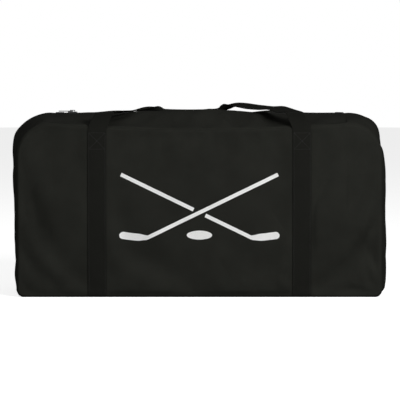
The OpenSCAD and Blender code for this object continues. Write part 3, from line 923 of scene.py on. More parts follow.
class Relief:
    """A grid read as a height field: how high its surface lies over any place (a, b).

    Columns run along a and rows along b. Each row is read off at a, then the rows are read
    off at b, both in straight lines.
    """

    def __init__(self, a, b, height):
        self.a, self.b, self.height = a, b, height

    def __call__(self, a, b):
        a, b = np.broadcast_arrays(np.asarray(a, float), np.asarray(b, float))
        flat_a, flat_b = a.ravel(), b.ravel()
        row_b = np.stack([np.interp(flat_a, *row) for row in zip(self.a, self.b)])
        row_h = np.stack([np.interp(flat_a, *row) for row in zip(self.a, self.height)])
        upper = np.clip((row_b < flat_b).sum(0), 1, len(row_b) - 1)
        each = np.arange(len(flat_a))
        b0, b1 = row_b[upper - 1, each], row_b[upper, each]
        share = np.clip((flat_b - b0) / np.maximum(b1 - b0, 1e-9), 0, 1)
        height = row_h[upper - 1, each] * (1 - share) + row_h[upper, each] * share
        return height.reshape(a.shape)


def face_relief(side):
    """How far the front or back stands out at any (x, z)."""
    grid = shell()["front" if side < 0 else "back"][0]
    return Relief(grid[..., 0], grid[..., 2], np.abs(grid[..., 1]))


def top_relief():
    """How high the top lies at any (y, x)."""
    rows, _ = outline_index()
    grid = shell()["gusset"][0][rows - 1: -rows + 1]
    return Relief(grid[..., 1], grid[..., 0], grid[..., 2])


# ---------------------------------------------------------------- stitches and webbing


def stitches(path, normals, gap, long=2.3 * MM, wide=0.75 * MM, high=0.4 * MM):
    """A row of raised stitches along a path of points, one every gap.

    Each stitch is four rings of five points, humped over the surface along its length.
    """
    run = distance_along(path)
    count = max(1, int(run[-1] / gap))
    at = (np.arange(count) + 0.5) * run[-1] / count
    centre = read_off(at, run, path)
    up = unit(read_off(at, run, normals))
    along = unit(read_off(at + 0.2 * gap, run, path) - read_off(at - 0.2 * gap, run, path))
    across = unit(np.cross(up, along))
    place = np.array([-0.5, -0.28, 0.28, 0.5])
    swell = np.array([0.55, 1, 1, 0.55])
    sink = np.array([-0.5, 0.35, 0.35, -0.5])
    turn = np.arange(5) * 2 * math.pi / 5
    l = np.repeat(place, 5) * long
    s = (swell[:, None] * np.cos(turn)).ravel() * wide / 2
    h = (swell[:, None] * 0.5 * np.sin(turn) + sink[:, None]).ravel() * high
    points = (
        centre[:, None] + l[None, :, None] * along[:, None]
        + s[None, :, None] * across[:, None] + h[None, :, None] * up[:, None]
    )
    ring = np.arange(20).reshape(4, 5)
    quads = ring_quads(ring)
    caps = np.stack([ring[0][::-1], ring[-1]])
    offset = np.arange(count)[:, None, None] * 20
    flat = np.tile(np.stack([s, l], -1), (count, 1))
    quads = (quads[None] + offset).reshape(-1, 4)
    caps = (caps[None] + offset).reshape(-1, 5)
    return points.reshape(-1, 3), quads, flat, caps


def nose(thickness, rings=5):
    """Steps past a band's end, and the share of its thickness there, for a half-round end."""
    angle = np.radians(np.linspace(0, 84, rings + 1))[1:]
    return thickness / 2 * np.sin(angle), np.cos(angle)


def across_web(samples):
    """Places across the webbing from -1 to 1, and how full its thickness is there."""
    q = np.sin(np.linspace(-math.pi / 2, math.pi / 2, samples))
    return q, 1 - 0.45 * np.abs(q) ** 9


def strap_parts(side, x0, sizes):
    """One fixed strap: sewn to the panel from its foot to its box, then free up to the hinge.

    Over the free stretch it leaves the panel as share^3, leans towards the bag's middle
    and ends in a half-round nose on the hinge's axis. Returns the slab's parts, and the
    reader of its face for its stitches.
    """
    relief = face_relief(side)
    thick = sizes.webbing
    hinge_y, hinge_z = abs(HINGES[side][0]), HINGES[side][1]
    on_panel = np.linspace(2 * MM, LIFT_Z, 110)
    free = np.linspace(LIFT_Z, hinge_z, 16)[1:]
    past, thin = nose(thick)
    z = np.concatenate([on_panel, free, hinge_z + past])
    full = np.concatenate([np.ones(len(on_panel) + len(free)), thin])
    q, edge = across_web(15)
    share = np.clip((z - LIFT_Z) / (hinge_z - LIFT_Z), 0, 1)[:, None]
    x = x0 + q[None, :] * WEB_W / 2 - math.copysign(LEANS[side], x0) * share**1.5
    base = relief(x, np.minimum(z, LIFT_Z)[:, None]) + 0.15 * MM
    middle = base + thick / 2
    middle = middle + (hinge_y - middle) * share**3
    half = thick / 2 * full[:, None] * edge[None, :]
    x, z = np.broadcast_arrays(x, z[:, None])
    outer = np.stack([x, side * (middle + half), z], -1)
    inner = np.stack([x, side * (middle - half), z], -1)
    flat = np.stack([x - x0, z], -1)
    return sheet_parts(outer, inner, flat=flat), Relief(x, z, middle + half)


def strap_thread(side, x0, face, sizes):
    """Stitch lines of one strap: both edges, and the crossed box under the free stretch."""
    edge = WEB_W / 2 - 3.2 * MM
    box_high = LIFT_Z - 2 * MM
    box_low = box_high - 2 * edge
    corners = {
        "left": [(-edge, 6 * MM), (-edge, box_high)], "right": [(edge, 6 * MM), (edge, box_high)],
        "top": [(-edge, box_high), (edge, box_high)], "foot": [(-edge, box_low), (edge, box_low)],
        "rising": [(-edge, box_low), (edge, box_high)],
        "falling": [(-edge, box_high), (edge, box_low)],
    }
    rows = []
    for ends in corners.values():
        (xa, za), (xb, zb) = ends
        s = np.linspace(0, 1, 90)
        x, z = x0 + xa + (xb - xa) * s, za + (zb - za) * s
        path = np.stack([x, side * (face(x, z) + 0.1 * MM), z], -1)
        normals = np.broadcast_to([0.0, side, 0.0], path.shape)
        rows.append(stitches(path, normals, sizes.stitch))
    return rows


# How far each side's straps lean towards the middle of the bag at their hinge.
LEANS = {-1: 20 * MM, 1: 0.0}
# The front handle from hinge to grip, on its right and left: share of the strap's x, share of
# the reach, height over the hinge in mm, lean from facing forwards (0) to facing up (1), roll
# in degrees, and how far the webbing is folded.
RIGHT_LEG = [
    (0.933, 0.000, 0.0, 0.80, 0, 0), (0.932, 0.010, 0.7, 0.85, 1, 0),
    (0.920, 0.035, 1.6, 0.90, 3, 0), (0.888, 0.075, 3.0, 1, 7, 0),
    (0.836, 0.145, 5.5, 1, 10, 0), (0.766, 0.270, 10.0, 1, 9, 0), (0.680, 0.425, 7.5, 1, 9, 0),
    (0.577, 0.600, 8.0, 1, 10, 0), (0.470, 0.745, 10.0, 1, 8, 0.05), (0.385, 0.855, 7.0, 1, 4, 0.25),
    (0.310, 0.950, 0.0, 1, 0, 0.6), (0.230, 0.994, -5.0, 1, 0, 0.92),
]
LEFT_LEG = [
    (0.920, 0.000, 0.0, 0.80, 0, 0), (0.919, 0.010, 0.5, 0.85, -1, 0),
    (0.917, 0.032, 1.0, 0.90, -3, 0), (0.909, 0.070, 0.0, 1, -6, 0),
    (0.890, 0.150, -3.5, 1, -9, 0), (0.818, 0.282, -1.6, 1, -9, 0), (0.715, 0.420, -2.4, 1, -9, 0),
    (0.600, 0.570, -1.0, 1, -8, 0.02), (0.505, 0.680, -1.0, 1, -7, 0.12),
    (0.425, 0.800, -2.2, 1, -4, 0.34), (0.345, 0.930, -4.6, 1, 0, 0.66),
    (0.260, 0.992, -5.8, 1, 0, 0.94),
]
GRIP_SHIFT = 25 * MM    # how far the front grip's middle lies left of the bag's
# One half of the back handle: share of the strap's x, share of its drop, distance out in mm,
# and how far the webbing is folded.
HANGING_LEG = [
    (1.000, 0.000, 0.0, 0), (1.000, 0.012, 3.6, 0), (1.000, 0.045, 5.5, 0), (0.985, 0.110, 8.0, 0),
    (0.930, 0.210, 11.0, 0), (0.820, 0.360, 13.0, 0), (0.690, 0.520, 14.0, 0),
    (0.560, 0.675, 15.0, 0), (0.450, 0.820, 16.0, 0.05), (0.370, 0.920, 17.0, 0.3),
    (0.300, 0.980, 17.5, 0.75), (0.225, 0.998, 17.5, 1),
]


def front_route():
    """Stations (x, y, z, lean, roll, fold) of the front handle, from right hinge to left."""
    hinge_y, hinge_z = HINGES[-1]

    def leg(rows, side):
        share, reach, height, lean, roll, fold = np.array(rows).T
        x = side * STRAP_X * share - GRIP_SHIFT * (1 - share)
        return np.stack([x, hinge_y + REACH * reach, hinge_z + height * MM, lean, roll, fold], -1)

    grip = [[-GRIP_SHIFT, hinge_y + REACH, GRIP_Z, 1, 0, 1]]
    return np.concatenate([leg(RIGHT_LEG, 1), grip, leg(LEFT_LEG, -1)[::-1]])


def back_route():
    """Stations of the back handle, hanging from its hinge behind the bag."""
    hinge_y, hinge_z = HINGES[1]

    def leg(side):
        share, drop, out, fold = np.array(HANGING_LEG).T
        y, z = hinge_y + out * MM, hinge_z - REACH * drop
        return np.stack([side * STRAP_X * share, y, z, 0 * y, 0 * y, fold], -1)

    grip = [[0, hinge_y + HANGING_LEG[-1][2] * MM, hinge_z - REACH, 0, 0, 1]]
    return np.concatenate([leg(1), grip, leg(-1)[::-1]])


def webbing_section(fold, thick, bend):
    """The webbing's section at each ring: both edges turned over until they meet on top.

    At distance s from the middle it is flat up to w, then curves with radius bend / fold
    over an arc of pi bend, and is straight again; the angle grows to pi fold. Returns s,
    the places across (a) and up (b), the angle, and how full the thickness is.
    """
    flat = (WEB_W / 2 - math.pi * bend + 0.6 * MM) / 2
    arc = math.pi * bend
    half = np.concatenate([
        np.linspace(0, flat, 5)[:-1], flat + np.linspace(0, arc, 9)[:-1],
        flat + arc + (WEB_W / 2 - flat - arc) * np.sin(np.linspace(0, math.pi / 2, 7)),
    ])
    s = np.concatenate([-half[:0:-1], half])[None, :]
    fold = np.maximum(fold, 1e-3)
    run = np.clip(np.abs(s) - flat, 0, arc)
    rest = np.clip(np.abs(s) - flat - arc, 0, None)
    angle = run * fold / bend
    a = np.minimum(np.abs(s), flat) + bend / fold * np.sin(angle) + rest * np.cos(angle)
    b = bend / fold * (1 - np.cos(angle)) + rest * np.sin(angle)
    full = 1 - 0.45 * (np.abs(s) / (WEB_W / 2)) ** 30
    return s, np.sign(s) * a, b - (b.max(1, keepdims=True) / 2) * fold, np.sign(s) * angle, full


def handle_parts(route, away, sizes, steps=10):
    """A webbing band along a route, flat at both ends and folded lengthwise at its grip.

    Over its last 40 mm at each end the band's width turns to lie along the hinge, and the
    end is a half-round nose about it.
    """
    thick = sizes.webbing
    curve = smooth_curve(route, steps)
    place = curve[:, :3]
    along = unit(np.gradient(place, axis=0))
    past, thin = nose(thick)
    first, last = (unit(along[k] * [0, 1, 1]) for k in (0, -1))
    place = np.concatenate([
        place[0] - past[::-1, None] * first, place, place[-1] + past[:, None] * last,
    ])
    pad = [(len(past), len(past)), (0, 0)]
    along = np.pad(along, pad, mode="edge")
    run = distance_along(place)
    lean, roll, fold = np.pad(curve[:, 3:], pad, mode="edge").T[..., None]
    fold = np.clip(fold, 0, 1)
    full = np.concatenate([thin[::-1], np.ones(len(curve)), thin])[:, None]
    hint = away * (1 - lean) + np.array([0, 0, 1.0]) * lean
    face = unit(hint - (hint * along).sum(1, keepdims=True) * along)
    wide = unit(np.cross(along, face))
    tilt = np.radians(roll)
    wide, face = (
        wide * np.cos(tilt) + face * np.sin(tilt), face * np.cos(tilt) - wide * np.sin(tilt)
    )
    level = ease(np.minimum(run, run[-1] - run)[:, None] / (40 * MM))
    wide = unit(wide * level + np.sign(wide[:, :1]) * np.array([1.0, 0, 0]) * (1 - level))
    face = unit(np.cross(wide, along))
    s, a, b, angle, edge = webbing_section(fold, thick, sizes.grip_bend)
    middle = place[:, None] + a[..., None] * wide[:, None] + b[..., None] * face[:, None]
    normal = np.cos(angle)[..., None] * face[:, None] - np.sin(angle)[..., None] * wide[:, None]
    half = (thick / 2 * full * edge)[..., None]
    outer, inner = middle + normal * half, middle - normal * half
    flat = np.stack(np.broadcast_arrays(s, run[:, None]), -1)
    return sheet_parts(outer, inner, flat=flat), middle, normal, fold[:, 0]


def grip_thread(middle, normal, fold, sizes):
    """Two stitch lines along the grip, one on each turned-over edge."""
    rings = np.flatnonzero(fold > 0.93)
    rows = []
    for column in (3, -4):
        up = -normal[rings, column]
        rows.append(stitches(middle[rings, column] + up * sizes.webbing / 2, up, sizes.stitch))
    return rows


# ---------------------------------------------------------------- zipper


def coil_parts(x0, x1, side, phase, sizes):
    """Half of the zipper's coil: a wire wound round an oval, twelve points to a turn.

    A point at turn t is (x0 + pitch t, side (middle + ry cos), middle + rz sin).
    """
    wire = 0.45 * MM
    r_y = (COIL_HIGH.y - COIL_LOW.y) / 2 - wire
    r_z = (COIL_HIGH.z - COIL_LOW.z) / 2 - wire
    middle_y = -(COIL_HIGH.y + COIL_LOW.y) / 2
    middle_z = (COIL_HIGH.z + COIL_LOW.z) / 2
    turns = int((x1 - x0) / sizes.coil_pitch)
    t = np.arange(turns * 12 + 1) / 12
    angle = 2 * math.pi * t + phase
    spine = np.stack([
        x0 + (x1 - x0) * t / turns, side * (middle_y + r_y * np.cos(angle)),
        middle_z + r_z * np.sin(angle),
    ], -1)
    core = np.stack([spine[:, 0], np.full(len(t), side * middle_y), np.full(len(t), middle_z)], -1)
    along = unit(np.gradient(spine, axis=0))
    out = unit(spine - core)
    out = unit(out - (out * along).sum(1, keepdims=True) * along)
    other = np.cross(along, out)
    turn = np.arange(4) * math.pi / 2 + math.pi / 4
    rings = (
        spine[:, None] + wire * np.cos(turn)[None, :, None] * out[:, None]
        + wire * np.sin(turn)[None, :, None] * other[:, None]
    )
    return tube_parts(rings, t * sizes.coil_pitch)


def tape_parts(x0, x1, side, columns=60):
    """One side of the zipper's tape: a thin woven strip with a corded edge by the coil."""
    y = np.linspace(-TAPE_LOW.y, -TAPE_HIGH.y, 9)
    x = np.linspace(x0, x1, columns)[:, None]
    cord = 0.25 * MM * fall(y + TAPE_HIGH.y - 1.2 * MM, 0.9 * MM)
    z = (TAPE_LOW.z + TAPE_HIGH.z) / 2
    x, y, cord = np.broadcast_arrays(x, y[None, :], cord[None, :])
    half = (TAPE_HIGH.z - TAPE_LOW.z) / 2 + cord
    upper = np.stack([x, side * y, z + half], -1)
    lower = np.stack([x, side * y, z - half], -1)
    return sheet_parts(upper, lower, flat=np.stack([y, x], -1))


# The three stretches of a flap, as shares of half the opening.
MIDDLE = 0.4
STRETCHES = {"left": (-1, -MIDDLE), "middle": (-MIDDLE, MIDDLE), "right": (MIDDLE, 1)}


# ---------------------------------------------------------------- operators


class KITBAG_OT_panels(bpy.types.Operator):
    """Sew the front and back panels"""

    bl_idname = "kit_bag.panels"
    bl_label = "Front and back panels"

    def execute(self, context):
        for name in ("front", "back"):
            outer, inner = shell()[name]
            flat = np.stack([outer[..., 0], outer[..., 2]], -1)
            add_piece(
                f"{name}_panel_fabric", [sheet_parts(outer, inner, flat=flat)], "cloth",
                ["bag"], [f"{name}_panel"],
            )
        return {"FINISHED"}


class KITBAG_OT_gusset(bpy.types.Operator):
    """Sew the end gussets and the two flaps of the top"""

    bl_idname = "kit_bag.gusset"
    bl_label = "End gussets and top flaps"

    def execute(self, context):
        outer, inner = shell()["gusset"]
        run = shell()["run"]
        y = depth_lines()
        flat = np.stack(np.broadcast_arrays(run[:, None], y[None, :]), -1)
        rows, place = outline_index()
        left, right = place(-ZIP_HALF), place(ZIP_HALF)
        x_mid = (outer[1:, :1, 0] + outer[:-1, :1, 0]) / 2
        y_mid = (y[1:] + y[:-1])[None, :] / 2
        row = np.arange(len(outer) - 1)[:, None]
        slot = (np.abs(y_mid) < ZIP_EDGE) & (np.abs(x_mid) < SLOT_END) & (row >= rows)
        slot &= row < len(outer) - rows
        self.cut("left_end", outer, inner, flat, (row < left) & ~slot)
        self.cut("right_end", outer, inner, flat, (row >= right) & ~slot)
        for side, name in ((-1, "front"), (1, "back")):
            own = side * y_mid > ZIP_EDGE
            for hand, ends in STRETCHES.items():
                first, last = (place(share * ZIP_HALF) for share in ends)
                part = sheet_parts(outer, inner, own & (row >= first) & (row < last), flat)
                add_piece(
                    f"{name}_flap_fabric_{hand}", [part], "cloth",
                    ["bag", f"{name}_flap_body"], [f"{name}_flap"],
                )
        return {"FINISHED"}

    def cut(self, name, outer, inner, flat, keep):
        """One end gusset, with the slot of the closed zipper left open."""
        keep = keep & np.ones((len(outer) - 1, outer.shape[1] - 1), bool)
        part = sheet_parts(outer, inner, keep, flat)
        add_piece(f"{name}_gusset_fabric", [part], "cloth", ["bag"], [f"{name}_gusset"])


class KITBAG_OT_base(bpy.types.Operator):
    """Sew the bottom panel and finish the board that stiffens it"""

    bl_idname = "kit_bag.base"
    bl_label = "Bottom panel and board"

    def execute(self, context):
        sizes = context.scene.kit_bag_sizes
        x = (HALF_L - BASE_R) * panel_shares()[:, None]
        y = depth_lines()[None, :]
        depth = SEAM_Y - np.abs(y)
        groove, _ = seam_relief(depth, sizes)
        x, y, groove, depth = np.broadcast_arrays(x, y, groove, depth)
        outer = np.stack([x, y - np.sign(y) * groove, groove], -1)
        edge = np.where(depth < 1e-6, np.sign(y), 0)
        inner = outer + sizes.fabric * np.stack([0 * x, -edge, np.ones_like(x)], -1)
        part = sheet_parts(outer, inner, flat=np.stack([x, y], -1))
        add_piece("bottom_panel_fabric", [part], "base_cloth", ["bag"], ["bottom_panel"])
        finish_node("base_board", "board")
        return {"FINISHED"}


class KITBAG_OT_binding(bpy.types.Operator):
    """Bind the two inner seams"""

    bl_idname = "kit_bag.binding"
    bl_label = "Seam bindings"

    def execute(self, context):
        for side, name in ((-1, "front"), (1, "back")):
            part = self.ring(side, context.scene.kit_bag_sizes)
            add_piece(
                f"{name}_seam_tape", [part], "binding", ["bag"], [f"{name}_seam_binding"]
            )
        return {"FINISHED"}

    def ring(self, side, sizes):
        """Tape folded over the seam allowance, all round the panel's outline.

        Its section is a flattened oval 10 mm deep and 2 mm thick that stands inwards from
        the seam, at 6 to 16 mm from the outline.
        """
        gusset = shell()["gusset"][0]
        seam = gusset[:, 0 if side < 0 else -1]
        base_x = seam[-1:, 0] + (seam[:1, 0] - seam[-1:, 0]) * np.linspace(0, 1, 121)[1:-1]
        bottom = np.stack([base_x, np.full(119, seam[0, 1]), np.full(119, seam[0, 2])], -1)
        loop = np.concatenate([seam, bottom])
        ahead = np.roll(loop, -1, axis=0) - np.roll(loop, 1, axis=0)
        out = unit(np.stack([-ahead[:, 2], np.zeros(len(loop)), ahead[:, 0]], -1))
        turn = np.linspace(0, 2 * math.pi, 13)[:-1]
        depth = (10.5 + 5 * np.cos(turn)) * MM
        across = (2.2 + 1.0 * np.sin(turn)) * MM
        rings = loop[:, None] - out[:, None] * depth[None, :, None]
        rings[..., 1] -= side * across
        count, sides = rings.shape[:2]
        index = np.arange(count * sides).reshape(count, sides)
        ahead_row, turned = np.roll(index, -1, axis=0), np.roll(index, -1, axis=1)
        both = np.roll(ahead_row, -1, axis=1)
        faces = np.stack([index, turned, both, ahead_row], -1).reshape(-1, 4)
        points = rings.reshape(-1, 3)
        centre = np.repeat(rings.mean(1), sides, axis=0)
        if turned_in(points, faces, points[faces[:, 0]] - centre):
            faces = faces[:, ::-1]
        run = np.cumsum(np.linalg.norm(np.diff(loop, axis=0, prepend=loop[:1]), axis=1))
        flat = np.stack(np.broadcast_arrays(depth[None, :], run[:, None]), -1).reshape(-1, 2)
        return points, faces, flat


class KITBAG_OT_straps(bpy.types.Operator):
    """Sew the four fixed straps and their stitches"""

    bl_idname = "kit_bag.straps"
    bl_label = "Straps and stitches"

    def execute(self, context):
        sizes = context.scene.kit_bag_sizes
        for side, name in ((-1, "front"), (1, "back")):
            thread = []
            for hand, x0 in (("left", -STRAP_X), ("right", STRAP_X)):
                part, face = strap_parts(side, x0, sizes)
                add_piece(
                    f"{name}_{hand}_strap_webbing", [part], "webbing", ["bag"],
                    [f"{name}_{hand}_strap"],
                )
                thread += strap_thread(side, x0, face, sizes)
            add_piece(
                f"{name}_strap_stitches", thread, "thread", ["bag"], [f"{name}_box_stitching"]
            )
        return {"FINISHED"}


class KITBAG_OT_handles(bpy.types.Operator):
    """Make the two loop handles with their folded grips"""

    bl_idname = "kit_bag.handles"
    bl_label = "Loop handles"

    def execute(self, context):
        sizes = context.scene.kit_bag_sizes
        for name, route, away in (
            ("front", front_route(), np.array([0, -1.0, 0])),
            ("back", back_route(), np.array([0, 1.0, 0])),
        ):
            band, middle, normal, fold = handle_parts(route, away, sizes)
            body = f"{name}_handle_body"
            add_piece(f"{name}_handle_webbing", [band], "webbing", [body], [f"{name}_handle"])
            rows = grip_thread(middle, normal, fold, sizes)
            add_piece(f"{name}_grip_stitches", rows, "thread", [body])
        return {"FINISHED"}


class KITBAG_OT_zipper(bpy.types.Operator):
    """Make the zipper's tapes, coils and tabs, and finish its metal"""

    bl_idname = "kit_bag.zipper"
    bl_label = "Zipper"

    def execute(self, context):
        sizes = context.scene.kit_bag_sizes
        for side, name in ((-1, "front"), (1, "back")):
            body = f"{name}_flap_body"
            for hand, ends in STRETCHES.items():
                x0, x1 = (share * ZIP_HALF for share in ends)
                bodies = ["bag", body]
                add_piece(
                    f"{name}_zip_tape_{hand}", [tape_parts(x0, x1, side)], "zipper_tape", bodies,
                    [f"{name}_zipper_tape"],
                )
                add_piece(
                    f"{name}_zip_coil_{hand}", [coil_parts(x0, x1, side, 0, sizes)],
                    "zipper_coil", bodies, [f"{name}_zipper_coil"],
                )
                rows = self.topstitch(side, x0, x1, sizes)
                add_piece(
                    f"{name}_flap_stitches_{hand}", rows, "thread", bodies, ()
                )
        for hand, right in (("left", -1), ("right", 1)):
            low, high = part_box(f"{hand}_zipper_end")
            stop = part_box(f"{hand}_zipper_stop")
            inner = low.x if right > 0 else high.x
            near = stop[0].x if right > 0 else stop[1].x
            tapes = [
                tape_parts(*sorted((inner, right * TAIL_END)), side, 14) for side in (-1, 1)
            ]
            coils = [coil_parts(*sorted((inner, near)), side, 0, sizes) for side in (-1, 1)]
            node = f"{hand}_zipper_end"
            add_piece(f"{hand}_tail_tape", tapes, "zipper_tape", ["bag"], [node])
            add_piece(f"{hand}_tail_coil", coils, "zipper_coil", ["bag"], [node])
            self.tab(hand, right, sizes)
        for node in ("zipper_slider", "slider_pull", "left_zipper_stop", "right_zipper_stop"):
            finish_node(node, "zipper_metal")
        return {"FINISHED"}

    def topstitch(self, side, x0, x1, sizes):
        """Two lines of stitches along a flap's hem, 3 and 9 mm from its edge."""
        relief = top_relief()
        x = np.linspace(x0 + 2 * MM, x1 - 2 * MM, 200)
        rows = []
        for inset in (3 * MM, 9 * MM):
            y = np.full_like(x, side * (ZIP_EDGE + inset))
            path = np.stack([x, y, relief(y, x) + 0.05 * MM], -1)
            up = np.broadcast_to([0.0, 0.0, 1.0], path.shape)
            rows.append(stitches(path, up, sizes.stitch))
        return rows

    def tab(self, hand, right, sizes):
        """The folded tab over the end of the tapes, with stitches round its edge."""
        relief = top_relief()
        u = np.linspace(TAB_LOW.x, TAB_HIGH.x, 13)[:, None]
        half = TAB_HIGH.y
        y = np.linspace(-half, half, 25)[None, :]
        x, y = np.broadcast_arrays(right * u, y)
        base = relief(y, x) + 0.1 * MM
        rim = np.minimum(half - np.abs(y), np.minimum(u - TAB_LOW.x, TAB_HIGH.x - u))
        thick = (0.7 + 0.9 * (1 - np.exp(-rim / (1.2 * MM)))) * MM
        grid = np.stack([x, y, base], -1)
        raised = grid + np.stack([0 * x, 0 * x, thick], -1)
        part = sheet_parts(raised, grid, flat=np.stack([y, x], -1))
        add_piece(f"{hand}_tab_webbing", [part], "binding", ["bag"], [f"{hand}_zipper_tab"])
        rows, inset = [], 2.6 * MM
        x_in, x_out = right * (TAB_LOW.x + inset), right * (TAB_HIGH.x - inset)
        y_end = half - inset
        for xa, ya, xb, yb in (
            (x_in, -y_end, x_in, y_end), (x_out, -y_end, x_out, y_end),
            (x_in, -y_end, x_out, -y_end), (x_in, y_end, x_out, y_end),
        ):
            s = np.linspace(0, 1, 40)
            px, py = xa + (xb - xa) * s, ya + (yb - ya) * s
            path = np.stack([px, py, relief(py, px) + 1.75 * MM], -1)
            rows.append(stitches(path, np.broadcast_to([0.0, 0, 1], path.shape), sizes.stitch))
        add_piece(f"{hand}_tab_stitches", rows, "thread", ["bag"])


class KITBAG_OT_print(bpy.types.Operator):
    """Print the crossed sticks and the puck on the front"""

    bl_idname = "kit_bag.print"
    bl_label = "Printed mark"

    def execute(self, context):
        relief = face_relief(-1)
        wide, high = PRINT_HIGH.x - PRINT_LOW.x, 196 * MM
        middle = PRINT_LOW.z + 0.36 * high + 12 * MM
        foot = np.array([-0.33 * wide, -0.40 * high])
        tip = np.array([0.49 * wide, 0.47 * high])
        crossing = 0.33 / (0.33 + 0.49)
        gap = 0.045
        parts = []
        for hand, pieces in ((1, [(0, 1)]), (-1, [(0, crossing - gap), (crossing + gap, 1)])):
            for first, last in pieces:
                parts.append(self.shaft(relief, middle, foot, tip, hand, first, last))
            parts.append(self.blade(relief, middle, foot, wide, high, hand))
        parts.append(self.puck(relief, middle, high))
        add_piece("front_print_ink", parts, "print_ink", ["bag"], ["front_print"])
        return {"FINISHED"}

    def film(self, relief, middle, grid):
        """A thin film of ink over a flat grid of (x, z) about the mark's middle."""
        x, z = grid[..., 0], grid[..., 1] + middle
        out = relief(x, z) + 0.06 * MM
        inner = np.stack([x, -out, z], -1)
        outer = np.stack([x, -out - 0.25 * MM, z], -1)
        return sheet_parts(outer, inner, flat=np.stack([x, z], -1))

    def shaft(self, relief, middle, foot, tip, hand, first, last):
        """A stretch of a stick's shaft, between two shares of its length."""
        run = tip - foot
        across = np.array([-run[1], run[0]]) / np.linalg.norm(run)
        s = np.linspace(first, last, int(4 + 90 * (last - first)))[:, None, None]
        q = np.linspace(-5, 5, 5)[None, :, None] * MM
        grid = foot + run * s + across * q
        return self.film(relief, middle, grid * [hand, 1])

    def blade(self, relief, middle, foot, wide, high, hand):
        """A stick's blade: it leaves the heel, curves up a little and ends in a round toe."""
        toe = np.array([-0.5 * wide, -0.37 * high])
        heel = foot + np.array([2, 1]) * MM
        s = np.linspace(0, 1, 34)[:, None]
        line = heel + (toe - heel) * s + np.array([0, 1]) * (6 * MM * s**2 - 3 * MM * s)
        end = np.sqrt(np.clip(1 - np.clip((s - 0.86) / 0.14, 0, 1) ** 2, 0.004, 1))
        half = (6.2 + 3.2 * ease(s / 0.35)) * MM * end
        q = np.linspace(-1, 1, 7)[None, :, None]
        grid = line[:, None] + np.array([0.25, 1]) * half[:, None] * q
        return self.film(relief, middle, grid * [hand, 1])

    def puck(self, relief, middle, high):
        """A flat oval puck, as rings of one half-ellipse carried across its width."""
        rx, rz = 34 * MM, 12 * MM
        angle = np.radians(np.linspace(-86, 86, 29))[:, None]
        q = np.linspace(-1, 1, 21)[None, :]
        x = rx * np.cos(angle) * q
        z = -0.36 * high + rz * np.sin(angle) + 0 * q
        return self.film(relief, middle, np.stack(np.broadcast_arrays(x, z), -1))


def look_at(thing, target):
    """Turns a lamp or camera, which look along their own -Z, towards a place."""
    way = Vector(target) - thing.location
    thing.rotation_euler = way.to_track_quat("-Z", "Y").to_euler()


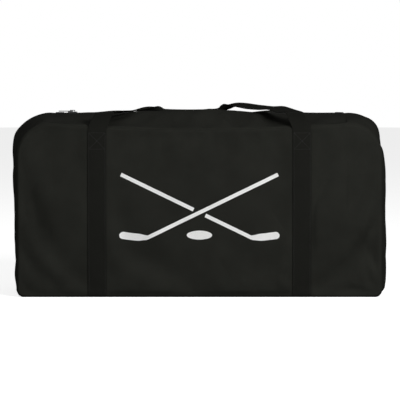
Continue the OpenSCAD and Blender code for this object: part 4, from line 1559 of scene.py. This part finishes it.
class KITBAG_OT_stage(bpy.types.Operator):
    """Set the floor, the light and the camera"""

    bl_idname = "kit_bag.stage"
    bl_label = "Stage"

    def execute(self, context):
        self.camera(context.scene)
        self.floor(context.scene)
        self.sky(context.scene)
        self.lamp("key", (2.1, -3.2, 1.9), (1.8, 1.2), 138)
        self.lamp("fill", (-2.2, -3.2, 1.3), (2.4, 2.0), 38)
        self.lamp("back", (-0.6, 2.4, 3.4), (2.0, 1.6), 11)
        context.scene.view_settings.view_transform = "Standard"
        return {"FINISHED"}

    def camera(self, scene):
        """A long lens at the front, four degrees up."""
        eye = bpy.data.cameras.new("camera")
        eye.lens = 328.6
        camera = bpy.data.objects.new("camera", eye)
        target = Vector((1.4 * MM, 0, 247.9 * MM))
        lift, distance = math.radians(4), 10
        camera.location = target + distance * Vector((0, -math.cos(lift), math.sin(lift)))
        look_at(camera, target)
        scene.collection.objects.link(camera)
        scene.camera = camera

    def lamp(self, name, place, size, power):
        """A soft rectangular light that looks at the bag."""
        light = bpy.data.lights.new(name, "AREA")
        light.shape = "RECTANGLE"
        light.size, light.size_y = size
        light.energy = power
        lamp = bpy.data.objects.new(name, light)
        lamp.location = place
        look_at(lamp, (0, 0, 0.3))
        bpy.context.scene.collection.objects.link(lamp)

    def floor(self, scene):
        """A wide pale disc just under the bag."""
        turn = np.linspace(0, 2 * math.pi, 97)[:-1]
        reach = np.array([0.5, 3.0, 9.0])[:, None]
        points = np.stack(
            [reach * np.cos(turn), reach * np.sin(turn), 0 * reach * turn - 0.3 * MM], -1
        )
        index = np.arange(3 * 96).reshape(3, 96)
        turned = np.roll(index, -1, axis=1)
        faces = np.stack([index[:-1], index[1:], turned[1:], turned[:-1]], -1).reshape(-1, 4)
        mesh = bpy.data.meshes.new("floor")
        mesh.from_pydata(points.reshape(-1, 3).tolist(), [], [*faces.tolist(), index[0].tolist()])
        f = Finish("pale_floor")
        where = f.node("ShaderNodeTexCoord", output=3)
        f.surface(
            Base_Color=f.mix(f.noise(where, 3), (0.86, 0.86, 0.86), (0.9, 0.9, 0.9)),
            Roughness=0.8, Specular_IOR_Level=0.1,
            Emission_Color=(1, 1, 1), Emission_Strength=0.75,
        )
        mesh.materials.append(f.material)
        disc = bpy.data.objects.new("floor", mesh)
        disc.visible_diffuse = False
        disc.visible_glossy = False
        scene.collection.objects.link(disc)

    def sky(self, scene):
        """White behind everything; dimmer as a light than it looks."""
        world = bpy.data.worlds.new("studio")
        world.use_nodes = True
        tree = world.node_tree
        tree.nodes.clear()
        output = tree.nodes.new("ShaderNodeOutputWorld")
        mix = tree.nodes.new("ShaderNodeMixShader")
        seen, lit = (tree.nodes.new("ShaderNodeBackground") for _ in range(2))
        path = tree.nodes.new("ShaderNodeLightPath")
        way = tree.nodes.new("ShaderNodeTexCoord")
        split = tree.nodes.new("ShaderNodeSeparateXYZ")
        ramp = tree.nodes.new("ShaderNodeValToRGB")
        tree.links.new(way.outputs["Generated"], split.inputs[0])
        tree.links.new(split.outputs["Z"], ramp.inputs[0])
        tree.links.new(ramp.outputs[0], lit.inputs["Color"])
        ramp.color_ramp.elements[0].color = (0.45, 0.45, 0.45, 1)
        ramp.color_ramp.elements[1].color = (1, 1, 1, 1)
        lit.inputs["Strength"].default_value = 0.12
        seen.inputs["Color"].default_value = (1, 1, 1, 1)
        tree.links.new(path.outputs["Is Camera Ray"], mix.inputs[0])
        tree.links.new(lit.outputs[0], mix.inputs[1])
        tree.links.new(seen.outputs[0], mix.inputs[2])
        tree.links.new(mix.outputs[0], output.inputs["Surface"])
        scene.world = world


STEPS = (
    KITBAG_OT_stage, KITBAG_OT_panels, KITBAG_OT_gusset, KITBAG_OT_base, KITBAG_OT_binding,
    KITBAG_OT_straps, KITBAG_OT_handles, KITBAG_OT_zipper, KITBAG_OT_print,
)


class KITBAG_PT_sidebar(bpy.types.Panel):
    """The bag's sizes, colours and steps"""

    bl_idname = "KITBAG_PT_sidebar"
    bl_label = "Kit Bag"
    bl_space_type = "VIEW_3D"
    bl_region_type = "UI"
    bl_category = "Kit Bag"

    def draw(self, context):
        for group in (context.scene.kit_bag_sizes, context.scene.kit_bag_colours):
            box = self.layout.box()
            for name in group.__annotations__:
                box.prop(group, name)
        for step in STEPS:
            self.layout.operator(step.bl_idname)


CLASSES = (KitBagSizes, KitBagColours, *STEPS, KITBAG_PT_sidebar)


def register():
    """Adds the classes and the two groups of settings."""
    for each in CLASSES:
        bpy.utils.register_class(each)
    bpy.types.Scene.kit_bag_sizes = bpy.props.PointerProperty(type=KitBagSizes)
    bpy.types.Scene.kit_bag_colours = bpy.props.PointerProperty(type=KitBagColours)


def unregister():
    """Takes them away again."""
    del bpy.types.Scene.kit_bag_colours
    del bpy.types.Scene.kit_bag_sizes
    for each in reversed(CLASSES):
        bpy.utils.unregister_class(each)


def main():
    """Makes the whole bag."""
    register()
    for step in STEPS:
        group, name = step.bl_idname.split(".")
        getattr(getattr(bpy.ops, group), name)()


if __name__ == "__main__":
    main()
